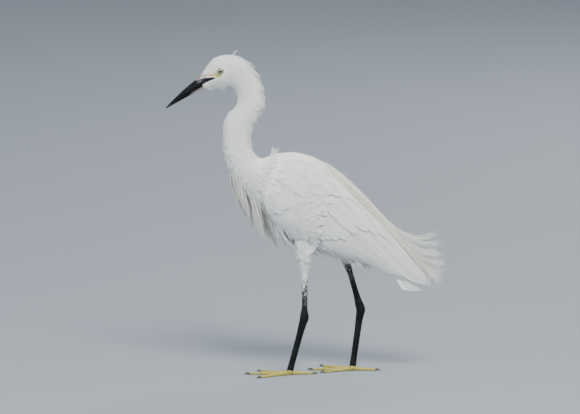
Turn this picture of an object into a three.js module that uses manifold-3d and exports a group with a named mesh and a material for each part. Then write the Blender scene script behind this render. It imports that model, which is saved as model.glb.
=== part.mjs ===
// A little egret in breeding plumage, standing in mid-stride, as a still life-size model.
// Millimetres, +Z up, bill towards -X, soles on Z = 0, the bird's left side towards -Y.
import * as THREE from 'three';
import { mergeVertices } from 'three/addons/utils/BufferGeometryUtils.js';
import Module from 'manifold-3d';

const wasm = await Module();
wasm.setup();

const GAP = 0.3;
const DEGREE = Math.PI / 180;
const SEED = 7;
const ORIGIN_SHIFT = -4;
const SPAN = 1200;

// Colours, as seen on the bird.
const PLUMAGE = new THREE.MeshStandardMaterial({ color: 0xeeeeea, roughness: 0.85, metalness: 0 });
const BILL_BLACK = new THREE.MeshStandardMaterial({ color: 0x16191a, roughness: 0.4, metalness: 0 });
const LEG_BLACK = new THREE.MeshStandardMaterial({ color: 0x12181a, roughness: 0.45, metalness: 0 });
const TOE_YELLOW = new THREE.MeshStandardMaterial({ color: 0xb7a53a, roughness: 0.55, metalness: 0 });
const CLAW_HORN = new THREE.MeshStandardMaterial({ color: 0x1b1a18, roughness: 0.4, metalness: 0 });
const IRIS_YELLOW = new THREE.MeshStandardMaterial({ color: 0xd9cf86, roughness: 0.1, metalness: 0 });

// Cross-sections of the flesh from bill to tail. Each has its top and bottom point in the
// mid-plane (x, z, x, z), its half width, and how much wider it is above than below.
const BODY = {
  billBase: [-161, 478, -154, 458, 7.5, 0],
  lores: [-152, 494, -141, 460, 10.5, 0],
  brow: [-140, 509, -127, 461, 14.5, 0],
  crown: [-117, 516, -113, 459, 16.5, 0],
  hindCrown: [-92, 510, -106.5, 453, 16.5, 0],
  nape: [-72.5, 487, -104, 446, 16, 0],
  neckTop: [-62.5, 461, -104.5, 439.5, 15.5, 0],
  neckHook: [-60, 437, -107, 432, 16, 0],
  neckBend: [-67, 416, -113.5, 424, 16.5, 0],
  neckFront: [-75.5, 399, -121.5, 409, 17, 0],
  neckMiddle: [-80, 382, -125, 386, 17.5, 0],
  neckLow: [-77.5, 364, -124.5, 361, 19, 0],
  neckFoot: [-69, 352, -118.5, 334, 22, 0],
  collar: [-58, 350, -107, 308, 26, 0.03],
  chest: [-44, 357, -88, 280, 31, 0.06],
  shoulders: [-27, 361, -67, 258, 35, 0.1],
  mantle: [-3, 361, -40, 231, 38, 0.12],
  back: [28, 349.5, -8, 211, 38, 0.12],
  saddle: [60, 324, 26, 200, 34, 0.1],
  loin: [91, 292, 64, 193, 27, 0.06],
  rump: [118, 255, 97, 184, 19, 0],
  tailBase: [138, 224, 123, 186, 11.5, 0],
};

// Cross-sections of the folded wings' outer shape, from the shoulders to the wing tips.
const WINGS = {
  shoulder: [-38, 357, -68, 268, 41, 0],
  wrist: [-14, 360, -48, 240, 45, 0],
  forearm: [18, 352, -15, 213, 47, 0],
  elbow: [54, 328, 24, 196, 44, 0],
  secondaries: [89, 297, 65, 182, 37, 0],
  tertials: [123, 262, 104, 171, 29, 0],
  overTail: [155, 225, 140, 152, 21, 0],
  pastTail: [185, 190, 172, 138, 14, 0],
  tip: [213, 163, 205, 136, 8.5, 0],
};

function catmullRom(a, b, c, d, t) {
  const slope = (c - a) / 2;
  const nextSlope = (d - b) / 2;
  const t2 = t * t;
  const t3 = t2 * t;
  const points = (2 * t3 - 3 * t2 + 1) * b + (3 * t2 - 2 * t3) * c;
  return points + (t3 - 2 * t2 + t) * slope + (t3 - t2) * nextSlope;
}

// A smooth skin through named cross-sections. u counts the sections, phi goes round from the
// top (0) by the right side (90) to the bottom (180).
class Skin {
  constructor(named, roundness = 1) {
    this.names = Object.keys(named);
    this.rows = Object.values(named);
    this.roundness = roundness;
  }

  at(name) {
    return this.names.indexOf(name);
  }

  section(u) {
    const last = this.rows.length - 1;
    const i = Math.max(0, Math.min(Math.floor(u), last - 1));
    const row = (k) => this.rows[Math.max(0, Math.min(k, last))];
    return row(i).map((_, c) => catmullRom(row(i - 1)[c], row(i)[c], row(i + 1)[c], row(i + 2)[c], u - i));
  }

  point(u, phi, grow = 0) {
    const [topX, topZ, bottomX, bottomZ, halfWidth, lean] = this.section(u);
    const halfX = (topX - bottomX) / 2;
    const halfZ = (topZ - bottomZ) / 2;
    const stretch = 1 + grow / Math.hypot(halfX, halfZ);
    const bent = (x) => Math.sign(x) * Math.abs(x) ** this.roundness;
    const up = bent(Math.cos(phi * DEGREE));
    const out = bent(Math.sin(phi * DEGREE));
    return new THREE.Vector3(
      bottomX + halfX + halfX * up * stretch,
      (halfWidth + grow) * out * (1 + lean * up),
      bottomZ + halfZ + halfZ * up * stretch,
    );
  }

  slopes(u, phi) {
    const du = 0.01;
    const dphi = 1;
    const alongU = this.point(u + du, phi).sub(this.point(u - du, phi)).divideScalar(2 * du);
    const alongPhi = this.point(u, phi + dphi).sub(this.point(u, phi - dphi)).divideScalar(2 * dphi);
    return { alongU, alongPhi };
  }

  normal(u, phi) {
    const { alongU, alongPhi } = this.slopes(u, phi);
    return alongU.cross(alongPhi).normalize();
  }
}

const point = (x, y, z) => new THREE.Vector3(x, y, z);
const mix = (a, b, t) => a + (b - a) * t;

// A seeded run of numbers from 0 to 1, and one value either way of nought.
function makeRandom(seed) {
  let state = seed;
  return () => {
    state = (state + 0x6d2b79f5) | 0;
    let t = Math.imul(state ^ (state >>> 15), 1 | state);
    t = (t + Math.imul(t ^ (t >>> 7), 61 | t)) ^ t;
    return ((t ^ (t >>> 14)) >>> 0) / 4294967296;
  };
}
const random = makeRandom(SEED);
const either = (amount) => (random() * 2 - 1) * amount;

const body = new Skin(BODY);
const wings = new Skin(WINGS, 0.8);

// A closed geometry from points and faces, its faces turned to point out.
function closedGeometry(points, faces) {
  let volume = 0;
  for (const [a, b, c] of faces) {
    volume += points[a].dot(points[b].clone().cross(points[c]));
  }
  const turned = volume < 0 ? faces.map(([a, b, c]) => [a, c, b]) : faces;
  const geometry = new THREE.BufferGeometry().setFromPoints(points);
  geometry.setIndex(turned.flat());
  return geometry;
}

// A closed tube through rings of points, with a flat cap at either end.
function tube(rings) {
  const sides = rings[0].length;
  const points = rings.flat();
  const faces = [];
  for (let r = 0; r < rings.length - 1; r++) {
    for (let s = 0; s < sides; s++) {
      const a = r * sides + s;
      const b = r * sides + ((s + 1) % sides);
      faces.push([a, b, a + sides], [b, b + sides, a + sides]);
    }
  }
  const lastRing = (rings.length - 1) * sides;
  const middle = (ring) => ring.reduce((sum, p) => sum.add(p), new THREE.Vector3()).divideScalar(sides);
  points.push(middle(rings[0]), middle(rings[rings.length - 1]));
  const startMiddle = points.length - 2;
  const endMiddle = points.length - 1;
  for (let s = 0; s < sides; s++) {
    const next = (s + 1) % sides;
    faces.push([startMiddle, next, s], [endMiddle, lastRing + s, lastRing + next]);
  }
  return closedGeometry(points, faces);
}

// A closed thin sheet from two alike grids of points, its outer face and its inner face.
function sheet(outer, inner) {
  const rows = outer.length;
  const columns = outer[0].length;
  const points = [...outer.flat(), ...inner.flat()];
  const under = rows * columns;
  const faces = [];
  for (let r = 0; r < rows - 1; r++) {
    for (let c = 0; c < columns - 1; c++) {
      const a = r * columns + c;
      const b = a + 1;
      const d = a + columns;
      const e = d + 1;
      faces.push([a, b, d], [b, e, d]);
      faces.push([a + under, d + under, b + under], [b + under, d + under, e + under]);
    }
  }
  const rim = [];
  for (let c = 0; c < columns - 1; c++) rim.push(c);
  for (let r = 0; r < rows - 1; r++) rim.push(r * columns + columns - 1);
  for (let c = columns - 1; c > 0; c--) rim.push((rows - 1) * columns + c);
  for (let r = rows - 1; r > 0; r--) rim.push(r * columns);

  rim.forEach((a, i) => {
    const b = rim[(i + 1) % rim.length];
    faces.push([b, a, a + under], [b, a + under, b + under]);
  });
  return closedGeometry(points, faces);
}

function solid(geometry) {
  const bare = geometry.clone();
  bare.deleteAttribute('normal');
  bare.deleteAttribute('uv');
  const merged = mergeVertices(bare, 1e-4);
  return new wasm.Manifold(new wasm.Mesh({
    numProp: 3,
    vertProperties: new Float32Array(merged.attributes.position.array),
    triVerts: new Uint32Array(merged.index.array),
  }));
}

// The largest closed surface: it drops loose scraps and fills sealed hollows.
function largest(made) {
  return made.decompose().reduce((best, one) => (one.volume() > best.volume() ? one : best));
}

function fuse(geometries) {
  return largest(wasm.Manifold.union(geometries.map(solid)));
}

const bird = new THREE.Group();

function addNode(name, made, material) {
  const { vertProperties, triVerts } = made.getMesh();
  const geometry = new THREE.BufferGeometry();
  geometry.setAttribute('position', new THREE.BufferAttribute(new Float32Array(vertProperties), 3));
  geometry.setIndex(new THREE.BufferAttribute(new Uint32Array(triVerts), 1));
  geometry.computeVertexNormals();
  const mesh = new THREE.Mesh(geometry, material);
  mesh.name = name;
  bird.add(mesh);
  return mesh;
}

// A piece and its mirror image on the bird's other side.
function addPair(name, made, material) {
  addNode(`${name}_right`, made, material);
  addNode(`${name}_left`, made, material).scale.y = -1;
}

// Flesh

// A length of a skin between two sections. The far side of a cut keeps the gap to its neighbour.
function loft(skin, from, to, rings, { sides = 20, grow = 0, cutStart = 0 } = {}) {
  const start = typeof from === 'string' ? skin.at(from) : from;
  const end = typeof to === 'string' ? skin.at(to) : to;
  const made = [];
  for (let r = 0; r <= rings; r++) {
    const u = start + ((end - start) * r) / rings;
    made.push(Array.from({ length: sides }, (_, s) => skin.point(u, (s * 360) / sides, grow)));
  }
  if (cutStart) {
    const [topX, topZ, bottomX, bottomZ] = skin.section(start);
    const across = new THREE.Vector3(topZ - bottomZ, 0, bottomX - topX).normalize();
    const onward = skin.point(start + 0.1, 90).sub(skin.point(start, 90));
    across.multiplyScalar(Math.sign(across.dot(onward)) * cutStart);
    made[0].forEach((p) => p.add(across));
  }
  return tube(made);
}

// A tube along a path of points with its own half width and half height at each.
function limb(path, { sides = 10, reference = new THREE.Vector3(0, 1, 0), flatBelow = -Infinity } = {}) {
  const rings = path.map(({ at, wide, deep }, i) => {
    const ahead = path[Math.min(i + 1, path.length - 1)].at;
    const behind = path[Math.max(i - 1, 0)].at;
    const along = ahead.clone().sub(behind).normalize();
    const side = reference.clone().addScaledVector(along, -reference.dot(along)).normalize();
    const front = side.clone().cross(along).normalize();
    return Array.from({ length: sides }, (_, s) => {
      const angle = ((s + 0.5) * 2 * Math.PI) / sides;
      const p = at.clone();
      p.addScaledVector(side, wide * Math.cos(angle));
      p.addScaledVector(front, deep * Math.sin(angle));
      p.z = Math.max(p.z, flatBelow);
      return p;
    });
  });
  return tube(rings);
}

// Everything of a solid between two heights.
function between(made, low, high) {
  const block = (z) => solid(new THREE.BoxGeometry(SPAN, SPAN, SPAN).translate(0, 0, z));
  return made.subtract(block(low - SPAN / 2)).subtract(block(high + SPAN / 2));
}

// Eyes

const EYE_RADIUS = 6.2;
const EYE = point(-128.5, 10.8, 490);
const LID_RADIUS = 4.9;
const LID_BAR = 1.1;
const LID_OUT = 4;

function eyeBall(radius) {
  return new THREE.SphereGeometry(radius, 14, 7).rotateX(90 * DEGREE).translate(EYE.x, EYE.y, EYE.z);
}

function lidRing() {
  const ring = new THREE.TorusGeometry(LID_RADIUS, LID_BAR, 5, 14);
  ring.scale(1.12, 0.9, 1).rotateX(90 * DEGREE);
  return ring.rotateZ(-8 * DEGREE).translate(EYE.x, EYE.y + LID_OUT, EYE.z);
}

// The same geometry on the bird's other side.
function mirrored(geometry) {
  const turned = geometry.clone().scale(1, -1, 1);
  const index = turned.index.array;
  for (let i = 0; i < index.length; i += 3) [index[i + 1], index[i + 2]] = [index[i + 2], index[i + 1]];
  return turned;
}

const bothSides = (geometry) => [geometry, mirrored(geometry)];

// Bill

const BILL_TIP = point(-216, 0, 430);
const BILL_ROOT = point(-151, 0, 473);
const BILL_LENGTH = BILL_TIP.distanceTo(BILL_ROOT);
const BILL_ALONG = BILL_TIP.clone().sub(BILL_ROOT).normalize();
const BILL_UP = point(BILL_ALONG.z, 0, -BILL_ALONG.x);
if (BILL_UP.z < 0) BILL_UP.negate();
const BILL_STEPS = 8;
const SLIT = { width: 1.1, facing: point(0, 1, 0), thick: 2.6, rows: 4 };

const onBill = (t, lift) => BILL_ROOT.clone()
  .addScaledVector(BILL_ALONG, BILL_LENGTH * t)
  .addScaledVector(BILL_UP, lift);
const billHalfWidth = (t) => mix(6.4, 0.8, t ** 0.85);
const billRise = (t) => mix(10, 0.9, t ** 1.6);
const billDrop = (t) => mix(7.4, 0.8, t ** 1.1);

// The slit of a nostril, near the root of the bill's upper half.
function nostril() {
  const HEIGHT = 0.45;
  const at = (t) => onBill(t, billRise(t) * HEIGHT).add(point(0, billHalfWidth(t) * 0.92, 0));
  return lock({ ...SLIT, path: [at(0.2), at(0.26), at(0.33)] });
}

// The line of the mouth, from the bill back under the eye.
function mouthLine() {
  const path = [[-0.2, 90], [0.6, 95], [1.4, 102], [2.1, 108]].map(([u, phi]) => body.point(u, phi));
  return lock({ ...SLIT, path });
}

// One half of the bill: an arch over (or under) the flat face where the two halves meet.
function billHalf(rise, lift) {
  const sides = 7;
  const rings = [];
  for (let i = 0; i <= BILL_STEPS; i++) {
    const t = i / BILL_STEPS;
    const middle = onBill(t, lift);
    rings.push(Array.from({ length: sides }, (_, s) => {
      const angle = (s * Math.PI) / (sides - 1);
      return middle.clone()
        .addScaledVector(BILL_UP, rise(t) * Math.sin(angle))
        .add(point(0, billHalfWidth(t) * Math.cos(angle), 0));
    }));
  }
  return tube(rings);
}

// Neck and trunk

// The lengths that the flesh is parted into: from and to a section, rings and sides.
const TRUNK = {
  neck_upper: ['nape', 'neckBend', 7, 18],
  neck_middle: ['neckBend', 'neckLow', 7, 18],
  neck_lower: ['neckLow', 'collar', 5, 20],
  breast: ['collar', 'shoulders', 4, 20],
  torso: ['shoulders', 'tailBase', 10, 20],
};
const trunkPiece = (name, cutStart, grow = 0) => {
  const [from, to, rings, sides] = TRUNK[name];
  return loft(body, from, to, rings, { sides, grow, cutStart });
};

// The room that the breast and torso take up, for what lies against them.
const breastRoom = solid(trunkPiece('breast', -GAP, GAP));
const torsoRoom = solid(trunkPiece('torso', -GAP, GAP));
const trunkRoom = breastRoom.add(torsoRoom);

// Feathers

// How wide a feather is along its length, from a narrow root to a rounded tip.
function featherOutline(t, tipShare) {
  const WIDE_FROM = 0.35;
  const NARROW_FROM = 0.6;
  const ROOT_SHARE = 0.4;
  if (t < WIDE_FROM) return mix(ROOT_SHARE, 1, Math.sin((t / WIDE_FROM) * 90 * DEGREE));
  if (t < NARROW_FROM) return 1;
  return mix(tipShare, 1, Math.sqrt(Math.max(0, 1 - ((t - NARROW_FROM) / (1 - NARROW_FROM)) ** 2)));
}

// One feather on a skin, from its root to its tip, each given as [u, phi]. lift is how far its
// outer face stands off the skin at root and tip. Its upper edge is tilted in, under its neighbour.
function feather(skin, { root, tip, width, lift, rows = 4 }) {
  const TILT = 1.8;
  const THICK = 0.6;
  const TIP_SHARE = 0.25;
  const outer = [];
  const inner = [];
  for (let r = 0; r <= rows; r++) {
    const t = 1 - (1 - r / rows) ** 1.4;
    const u = mix(root[0], tip[0], t);
    const phi = mix(root[1], tip[1], t);
    const { alongU, alongPhi } = skin.slopes(u, phi);
    const along = alongU.clone().multiplyScalar(tip[0] - root[0]);
    along.addScaledVector(alongPhi, tip[1] - root[1]).normalize();
    const side = along.cross(skin.normal(u, phi)).normalize();
    if (side.dot(alongPhi) < 0) side.negate();
    const half = (width / 2) * featherOutline(t, TIP_SHARE);
    const height = mix(lift[0], lift[1], Math.sin(t * 90 * DEGREE));
    const row = [-1, 1].map((k) => {
      const onU = u + (k * half * side.dot(alongU)) / alongU.lengthSq();
      const onPhi = phi + (k * half * side.dot(alongPhi)) / alongPhi.lengthSq();
      const out = skin.normal(onU, onPhi);
      const face = skin.point(onU, onPhi).addScaledVector(out, height + (TILT * (k - 1)) / 2);
      return [face, face.clone().addScaledVector(out, -THICK)];
    });
    outer.push(row.map(([face]) => face));
    inner.push(row.map(([, under]) => under));
  }
  return sheet(outer, inner);
}

// A row of feathers, each value of the row going from its first feather's to its last one's.
function tier(skin, { count, root, tip, width, ...rest }) {
  return Array.from({ length: count }, (_, i) => {
    const f = i / (count - 1);
    const blend = ([first, last]) => first.map((v, c) => mix(v, last[c], f));
    return feather(skin, {
      root: blend(root),
      tip: blend(tip),
      width: mix(...width, f),
      ...rest,
    });
  });
}

// A patch of a skin with its own thickness, sunk away along its rim.
function patch(skin, { u, phi, lift, sink, thick, rows, columns }) {
  const swell = (x) => Math.min(1, Math.sin(Math.PI * x) * 2.2);
  const outer = [];
  const inner = [];
  for (let r = 0; r <= rows; r++) {
    const row = Array.from({ length: columns + 1 }, (_, c) => {
      const onU = mix(u[0], u[1], r / rows);
      const onPhi = mix(phi[0], phi[1], c / columns);
      const height = mix(lift - sink, lift, swell(c / columns) * Math.min(1, swell(r / rows)));
      const out = skin.normal(onU, onPhi);
      const face = skin.point(onU, onPhi).addScaledVector(out, height);
      return [face, face.clone().addScaledVector(out, -thick)];
    });
    outer.push(row.map(([face]) => face));
    inner.push(row.map(([, under]) => under));
  }
  return sheet(outer, inner);
}

const onSkin = (skin, u, phi, lift) => skin.point(u, phi).addScaledVector(skin.normal(u, phi), lift);

const beyond = (from, along, length, out, lift) => from.clone()
  .addScaledVector(along, length)
  .addScaledVector(out, lift);

// A flat, tapered lock of feather strands along a smooth path, its broad side facing a direction.
function lock({ path, width, facing, thick = 1.3, rows = 5, grow = 0 }) {
  const WIDE_AT = 0.35;
  const ROOT_SHARE = 0.6;
  const TIP_SHARE = 0.12;
  const END_THICKNESS = 0.45;
  const curve = new THREE.CatmullRomCurve3(path);
  const outer = [];
  const inner = [];
  for (let r = 0; r <= rows; r++) {
    const t = r / rows;
    const at = curve.getPoint(t);
    const side = facing.clone().cross(curve.getTangent(t)).normalize();
    const out = curve.getTangent(t).cross(side).normalize();
    const past = Math.max(0, t - WIDE_AT) / (1 - WIDE_AT);
    const swell = t < WIDE_AT ? mix(ROOT_SHARE, 1, t / WIDE_AT) : mix(1, TIP_SHARE, past ** 1.4);
    const edges = [-1, 1].map((k) => at.clone().addScaledVector(side, k * ((swell * width) / 2 + grow)));
    const half = (thick / 2) * mix(1, END_THICKNESS, t) + grow;
    outer.push(edges.map((p) => p.clone().addScaledVector(out, half)));
    inner.push(edges.map((p) => p.clone().addScaledVector(out, -half)));
  }
  return sheet(outer, inner);
}

// The long plumes of the lower neck and breast: they leave its front and hang back under it.
const BREAST_PLUMES = {
  u: [12.3, 14.85],
  front: point(0.4, 0, -0.92),
  rear: point(0.56, 0, -0.83),
  length: [50, 80],
  width: [3.6, 5.4],
};

function breastPlumes(count, from, to) {
  return Array.from({ length: count }, (_, i) => {
    const f = mix(from, to, (i + 0.5) / count);
    const side = i % 2 ? 1 : -1;
    const phi = 180 - side * (6 + 34 * random());
    const u = mix(...BREAST_PLUMES.u, f);
    const out = body.normal(u, phi);
    const root = onSkin(body, u, phi, -3);
    const length = mix(...BREAST_PLUMES.length, f) * (0.86 + 0.28 * random());
    const along = BREAST_PLUMES.front.clone().lerp(BREAST_PLUMES.rear, f);
    along.setY(either(0.08) - side * 0.04).normalize();
    const at = (share, lift) => beyond(root, along, length * share, out, lift);
    return {
      path: [root, at(0.45, 7), at(0.75, 8.5), at(1, 8).add(point(either(3), 0, 0))],
      width: mix(...BREAST_PLUMES.width, random()),
      facing: out,
      rows: 3,
    };
  });
}

// The long plumes of the back: they part over the folded wings and curl up at their tips. The tips
// spread from top to bottom, in an arc.
const BACK_PLUMES = {
  count: 13,
  width: 5,
  thick: 1.5,
  layer: 1.9,
  top: point(204, 0, 235),
  bottom: point(215, 0, 146),
  arc: 10,
};

function backPlumes() {
  return Array.from({ length: BACK_PLUMES.count }, (_, i) => {
    const f = (i + 0.5) / BACK_PLUMES.count;
    const side = i % 2 ? 1 : -1;
    const phi = side * (3 + 37 * f + either(2));
    const startU = 1.6 + 1.3 * random();
    const layer = i % 4 < 2 ? 0 : BACK_PLUMES.layer;
    const spread = (u, share, lift) => onSkin(wings, u, phi * share, lift + layer);
    const tip = BACK_PLUMES.top.clone().lerp(BACK_PLUMES.bottom, f);
    tip.add(point(BACK_PLUMES.arc * Math.sin(Math.PI * f) + either(4), side * (2 + 9 * f), either(3)));
    const last = spread(6.9, 1, mix(13, 3.2, f));
    const bend = last.clone().lerp(tip, 0.55).add(point(3, 0, -9 * (1 - f)));
    const path = [
      spread(startU, 0.5, -11),
      spread(startU + 0.9, 0.6, mix(4.2, 3.2, f)),
      spread(5, 0.85, mix(8, 3.2, f)),
      last,
      bend,
      tip,
    ];
    const { width, thick } = BACK_PLUMES;
    return { path, width, thick, facing: wings.normal(5, phi), rows: 6 };
  });
}

// A short lock that leaves a skin along it: where it roots, how long and wide it is, and how far
// its tip stands off.
function tuft(skin, u, phi, { length, width, rise }) {
  const ROOTED = 2.5;
  const along = skin.slopes(u, phi).alongU.normalize();
  const out = skin.normal(u, phi);
  const at = (share, lift) => beyond(skin.point(u, phi), along, length * share, out, lift);
  return { path: [at(0, -ROOTED), at(0.5, rise * 0.3), at(1, rise)], width, facing: out, rows: 3 };
}

// Short locks of the belly and flanks, which hang a little between the legs.
function bellyLocks() {
  const COUNT = 7;
  return Array.from({ length: COUNT }, (_, i) => {
    const u = mix(16.9, 19.5, i / (COUNT - 1));
    const phi = 180 + (i % 2 ? 1 : -1) * (12 + 22 * random());
    return tuft(body, u, phi, { length: 30 + either(5), width: 10, rise: 15 + either(3) });
  });
}

// Wings

// The arm, and over it the rows of feathers from the lowest to the uppermost.
const ARM = { u: [-0.1, 3.6], phi: [28, 150], lift: -4.2, sink: 9, thick: 8, rows: 4, columns: 4 };
const WING_TIERS = {
  primaries: {
    count: 2,
    root: [[3, 100], [3.2, 114]],
    tip: [[8.05, 110], [7.5, 126]],
    width: [18, 16],
    lift: [-9, -5.6],
  },
  secondaries: {
    count: 5,
    root: [[3, 112], [1.4, 120]],
    tip: [[5.1, 146], [2.7, 150]],
    width: [23, 21],
    lift: [-8, -4.4],
    rows: 3,
  },
  innerSecondaries: {
    count: 3,
    root: [[3, 84], [3, 106]],
    tip: [[7.7, 90], [5.8, 128]],
    width: [22, 20],
    lift: [-8, -3.4],
  },
  tertials: {
    count: 4,
    root: [[2.6, 54], [2.6, 80]],
    tip: [[7.8, 64], [8.05, 100]],
    width: [25, 23],
    lift: [-8, -1.4],
  },
  greaterCoverts: {
    count: 5,
    root: [[1.9, 74], [1, 124]],
    tip: [[4.7, 88], [2.2, 145]],
    width: [23, 18],
    lift: [-7.5, -2.4],
    rows: 3,
  },
  medianCoverts: {
    count: 4,
    root: [[1.1, 72], [0.6, 118]],
    tip: [[3.2, 86], [1.5, 140]],
    width: [26, 21],
    lift: [-7, -1.2],
    rows: 3,
  },
  lesserCoverts: {
    count: 4,
    root: [[0.5, 68], [0.3, 112]],
    tip: [[2, 80], [0.8, 132]],
    width: [24, 19],
    lift: [-7, -0.4],
    rows: 3,
  },
  scapulars: {
    count: 4,
    root: [[1, 34], [0.6, 62]],
    tip: [[5.2, 44], [2.9, 90]],
    width: [27, 25],
    lift: [-7, 0],
  },
};

// Tail

const TAIL = {
  feathers: 8,
  vane: 12,
  rootX: 128,
  tipX: 192,
  rootZ: 199,
  tipZ: 133,
  shorter: 24,
  rootHalf: 2.5,
  tipHalf: 12,
  crown: 7,
  layer: 1.1,
  thick: 0.7,
  rows: 3,
};

// A point of the fanned tail: s from its left edge (-1) to its right (1), t from root to tip. The
// outer feathers are shorter and hang more steeply.
function tailPoint(s, t) {
  return point(
    mix(TAIL.rootX, TAIL.tipX - TAIL.shorter * Math.abs(s) ** 1.6, t),
    s * mix(TAIL.rootHalf, TAIL.tipHalf, t),
    mix(TAIL.rootZ, TAIL.tipZ + 3 * Math.abs(s), t) + TAIL.crown * Math.sin(Math.PI * t),
  );
}

// One tail feather. The middle ones lie uppermost, and each of the others under its inner neighbour.
function tailFeather(i, grow = 0) {
  const middle = (TAIL.feathers - 1) / 2;
  const s = (i - middle) / middle;
  const outer = [];
  const inner = [];
  for (let r = 0; r <= TAIL.rows; r++) {
    const t = 1 - (1 - r / TAIL.rows) ** 1.5;
    const along = tailPoint(s, t + 0.01).sub(tailPoint(s, t - 0.01)).normalize();
    const side = tailPoint(s + 0.05, t + 0.05).sub(tailPoint(s - 0.05, t + 0.05));
    side.addScaledVector(along, -side.dot(along)).normalize();
    const out = along.clone().cross(side).normalize();
    if (out.z < 0) out.negate();
    const half = (TAIL.vane / 2) * featherOutline(t, 0.3) + grow;
    const at = tailPoint(s, t).addScaledVector(out, -TAIL.layer * Math.abs(i - middle));
    const edges = [-1, 1].map((k) => at.clone().addScaledVector(side, k * half));
    outer.push(edges.map((p) => p.clone().addScaledVector(out, grow)));
    inner.push(edges.map((p) => p.clone().addScaledVector(out, -TAIL.thick - grow)));
  }
  return sheet(outer, inner);
}

// Short locks under the tail, from its root.
function underTail() {
  const COUNT = 4;
  return Array.from({ length: COUNT }, (_, i) => {
    const y = mix(-6, 6, i / (COUNT - 1));
    const root = point(131, y * 0.5, 195);
    const tip = point(147 + (i % 3) * 7 + either(2), y * 1.3, 136 + either(2));
    const facing = point(-0.4, y < 0 ? -0.8 : 0.8, -0.4);
    return { path: [root, point(132, y * 0.9, 172), tip], width: 9, facing, rows: 3 };
  });
}

// The stump that the tail feathers root in. Each ring is smaller and further out than the last.
function tailCore(grow = 0) {
  const SIDES = 14;
  const RINGS = [[0, 1], [0.5, 0.85], [1, 0.35]];
  const [topX, topZ, bottomX, bottomZ, halfWidth] = body.section(body.at('tailBase'));
  const rings = RINGS.map(([t, share]) => {
    const shift = point(26 * t, 0, -20 * t);
    return Array.from({ length: SIDES }, (_, k) => {
      const angle = (k * 2 * Math.PI) / SIDES;
      const up = Math.cos(angle) * (share / 2 + grow / Math.hypot(topX - bottomX, topZ - bottomZ));
      return point(
        (topX + bottomX) / 2 + (topX - bottomX) * up,
        (halfWidth * share + grow) * Math.sin(angle),
        (topZ + bottomZ) / 2 + (topZ - bottomZ) * up,
      ).add(shift);
    });
  });
  const inward = point(38, 0, -15).normalize().multiplyScalar(GAP);
  rings[0].forEach((p) => p.add(inward));
  return tube(rings);
}

// Legs and feet

const LEGS = {
  left: {
    thigh: [
      { at: point(4, -19, 236), wide: 13, deep: 17 },
      { at: point(4.5, -20, 205), wide: 10, deep: 12.5 },
      { at: point(5.6, -21, 182), wide: 7.5, deep: 8 },
      { at: point(5.9, -21.6, 152), wide: 5, deep: 5.2 },
      { at: point(6.3, -22, 126), wide: 4.2, deep: 4.4 },
    ],
    bareFrom: 131,
    shank: point(6.3, -22, 136),
    ankle: point(5.3, -25, 93),
    foot: point(-18, -21, 5),
    hindTurn: -6,
  },
  right: {
    thigh: [
      { at: point(54, 18, 232), wide: 13, deep: 17 },
      { at: point(64, 19, 205), wide: 10, deep: 12 },
      { at: point(72, 20, 180), wide: 6.5, deep: 7 },
      { at: point(78.5, 20, 160), wide: 4.4, deep: 4.8 },
    ],
    bareFrom: 166,
    shank: point(75.6, 20, 171),
    ankle: point(96, 20, 99),
    foot: point(83, 18, 5),
    hindTurn: 6,
  },
};
const FOOT_TOP = 8.5;
const TOES = {
  middle: { length: 64, turn: 0 },
  inner: { length: 51, turn: -27 },
  outer: { length: 55, turn: 33 },
  hind: { length: 37, turn: 180 },
};
const TOE_JOINTS = [0.36, 0.7];
const KNUCKLE = [6.6, 6.2, 6];
const TOE_HALF = 3.1;
const TOE_HALF_HEIGHT = 3;
const SOLE_SHARE = 0.8;
const CLAW_LENGTH = 9;
const ANKLE_TOP = 9;
const THIGH_SIDES = 14;

// The bare leg, from the shank by the ankle down to the toes' roots.
function bareLeg({ shank, ankle, foot }) {
  const along = (a, b, t) => a.clone().lerp(b, t);
  return solid(limb([
    { at: shank, wide: 3.2, deep: 3.9 },
    { at: along(shank, ankle, 0.62), wide: 3.3, deep: 4.1 },
    { at: along(shank, ankle, 0.86), wide: 4.8, deep: 6.2 },
    { at: ankle, wide: 5.2, deep: 6.8 },
    { at: along(ankle, foot, 0.12), wide: 4.4, deep: 5.6 },
    { at: along(ankle, foot, 0.3), wide: 3.7, deep: 4.6 },
    { at: along(ankle, foot, 0.75), wide: 3.6, deep: 4.4 },
    { at: along(ankle, foot, 0.94), wide: 4.6, deep: 5 },
    { at: foot, wide: 4.8, deep: 5.2 },
  ], { sides: 12 }));
}

// A toe lies on the ground on a flat sole, a little thicker at each joint.
function toe(foot, direction, length) {
  const at = (t, wide, deep) => ({
    at: foot.clone().addScaledVector(direction, length * t).setZ(deep * SOLE_SHARE),
    wide,
    deep,
  });
  const path = [at(0, TOE_HALF, 3.6), at(0.15, TOE_HALF, 3.4)];
  for (const joint of TOE_JOINTS) {
    const share = mix(1, 0.68, joint);
    path.push(at(joint, TOE_HALF * share * 1.12, TOE_HALF_HEIGHT * share * 1.08));
    path.push(at(joint + 0.12, TOE_HALF * share * 0.86, TOE_HALF_HEIGHT * share * 0.88));
  }
  path.push(at(1, 1.9, 2.1));
  return limb(path, { sides: 8, flatBelow: 0 });
}

function claw(foot, direction, length) {
  const at = (t, z, wide, deep) => ({
    at: foot.clone().addScaledVector(direction, length + GAP + CLAW_LENGTH * t).setZ(z),
    wide,
    deep,
  });
  const path = [at(0, 1.6, 1.6, 1.9), at(0.35, 2.2, 1.3, 1.6), at(0.7, 1.8, 0.9, 1.1), at(1, 0.6, 0.4, 0.5)];
  return limb(path, { sides: 8, flatBelow: 0 });
}

// The nodes, from bill to claws

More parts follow.
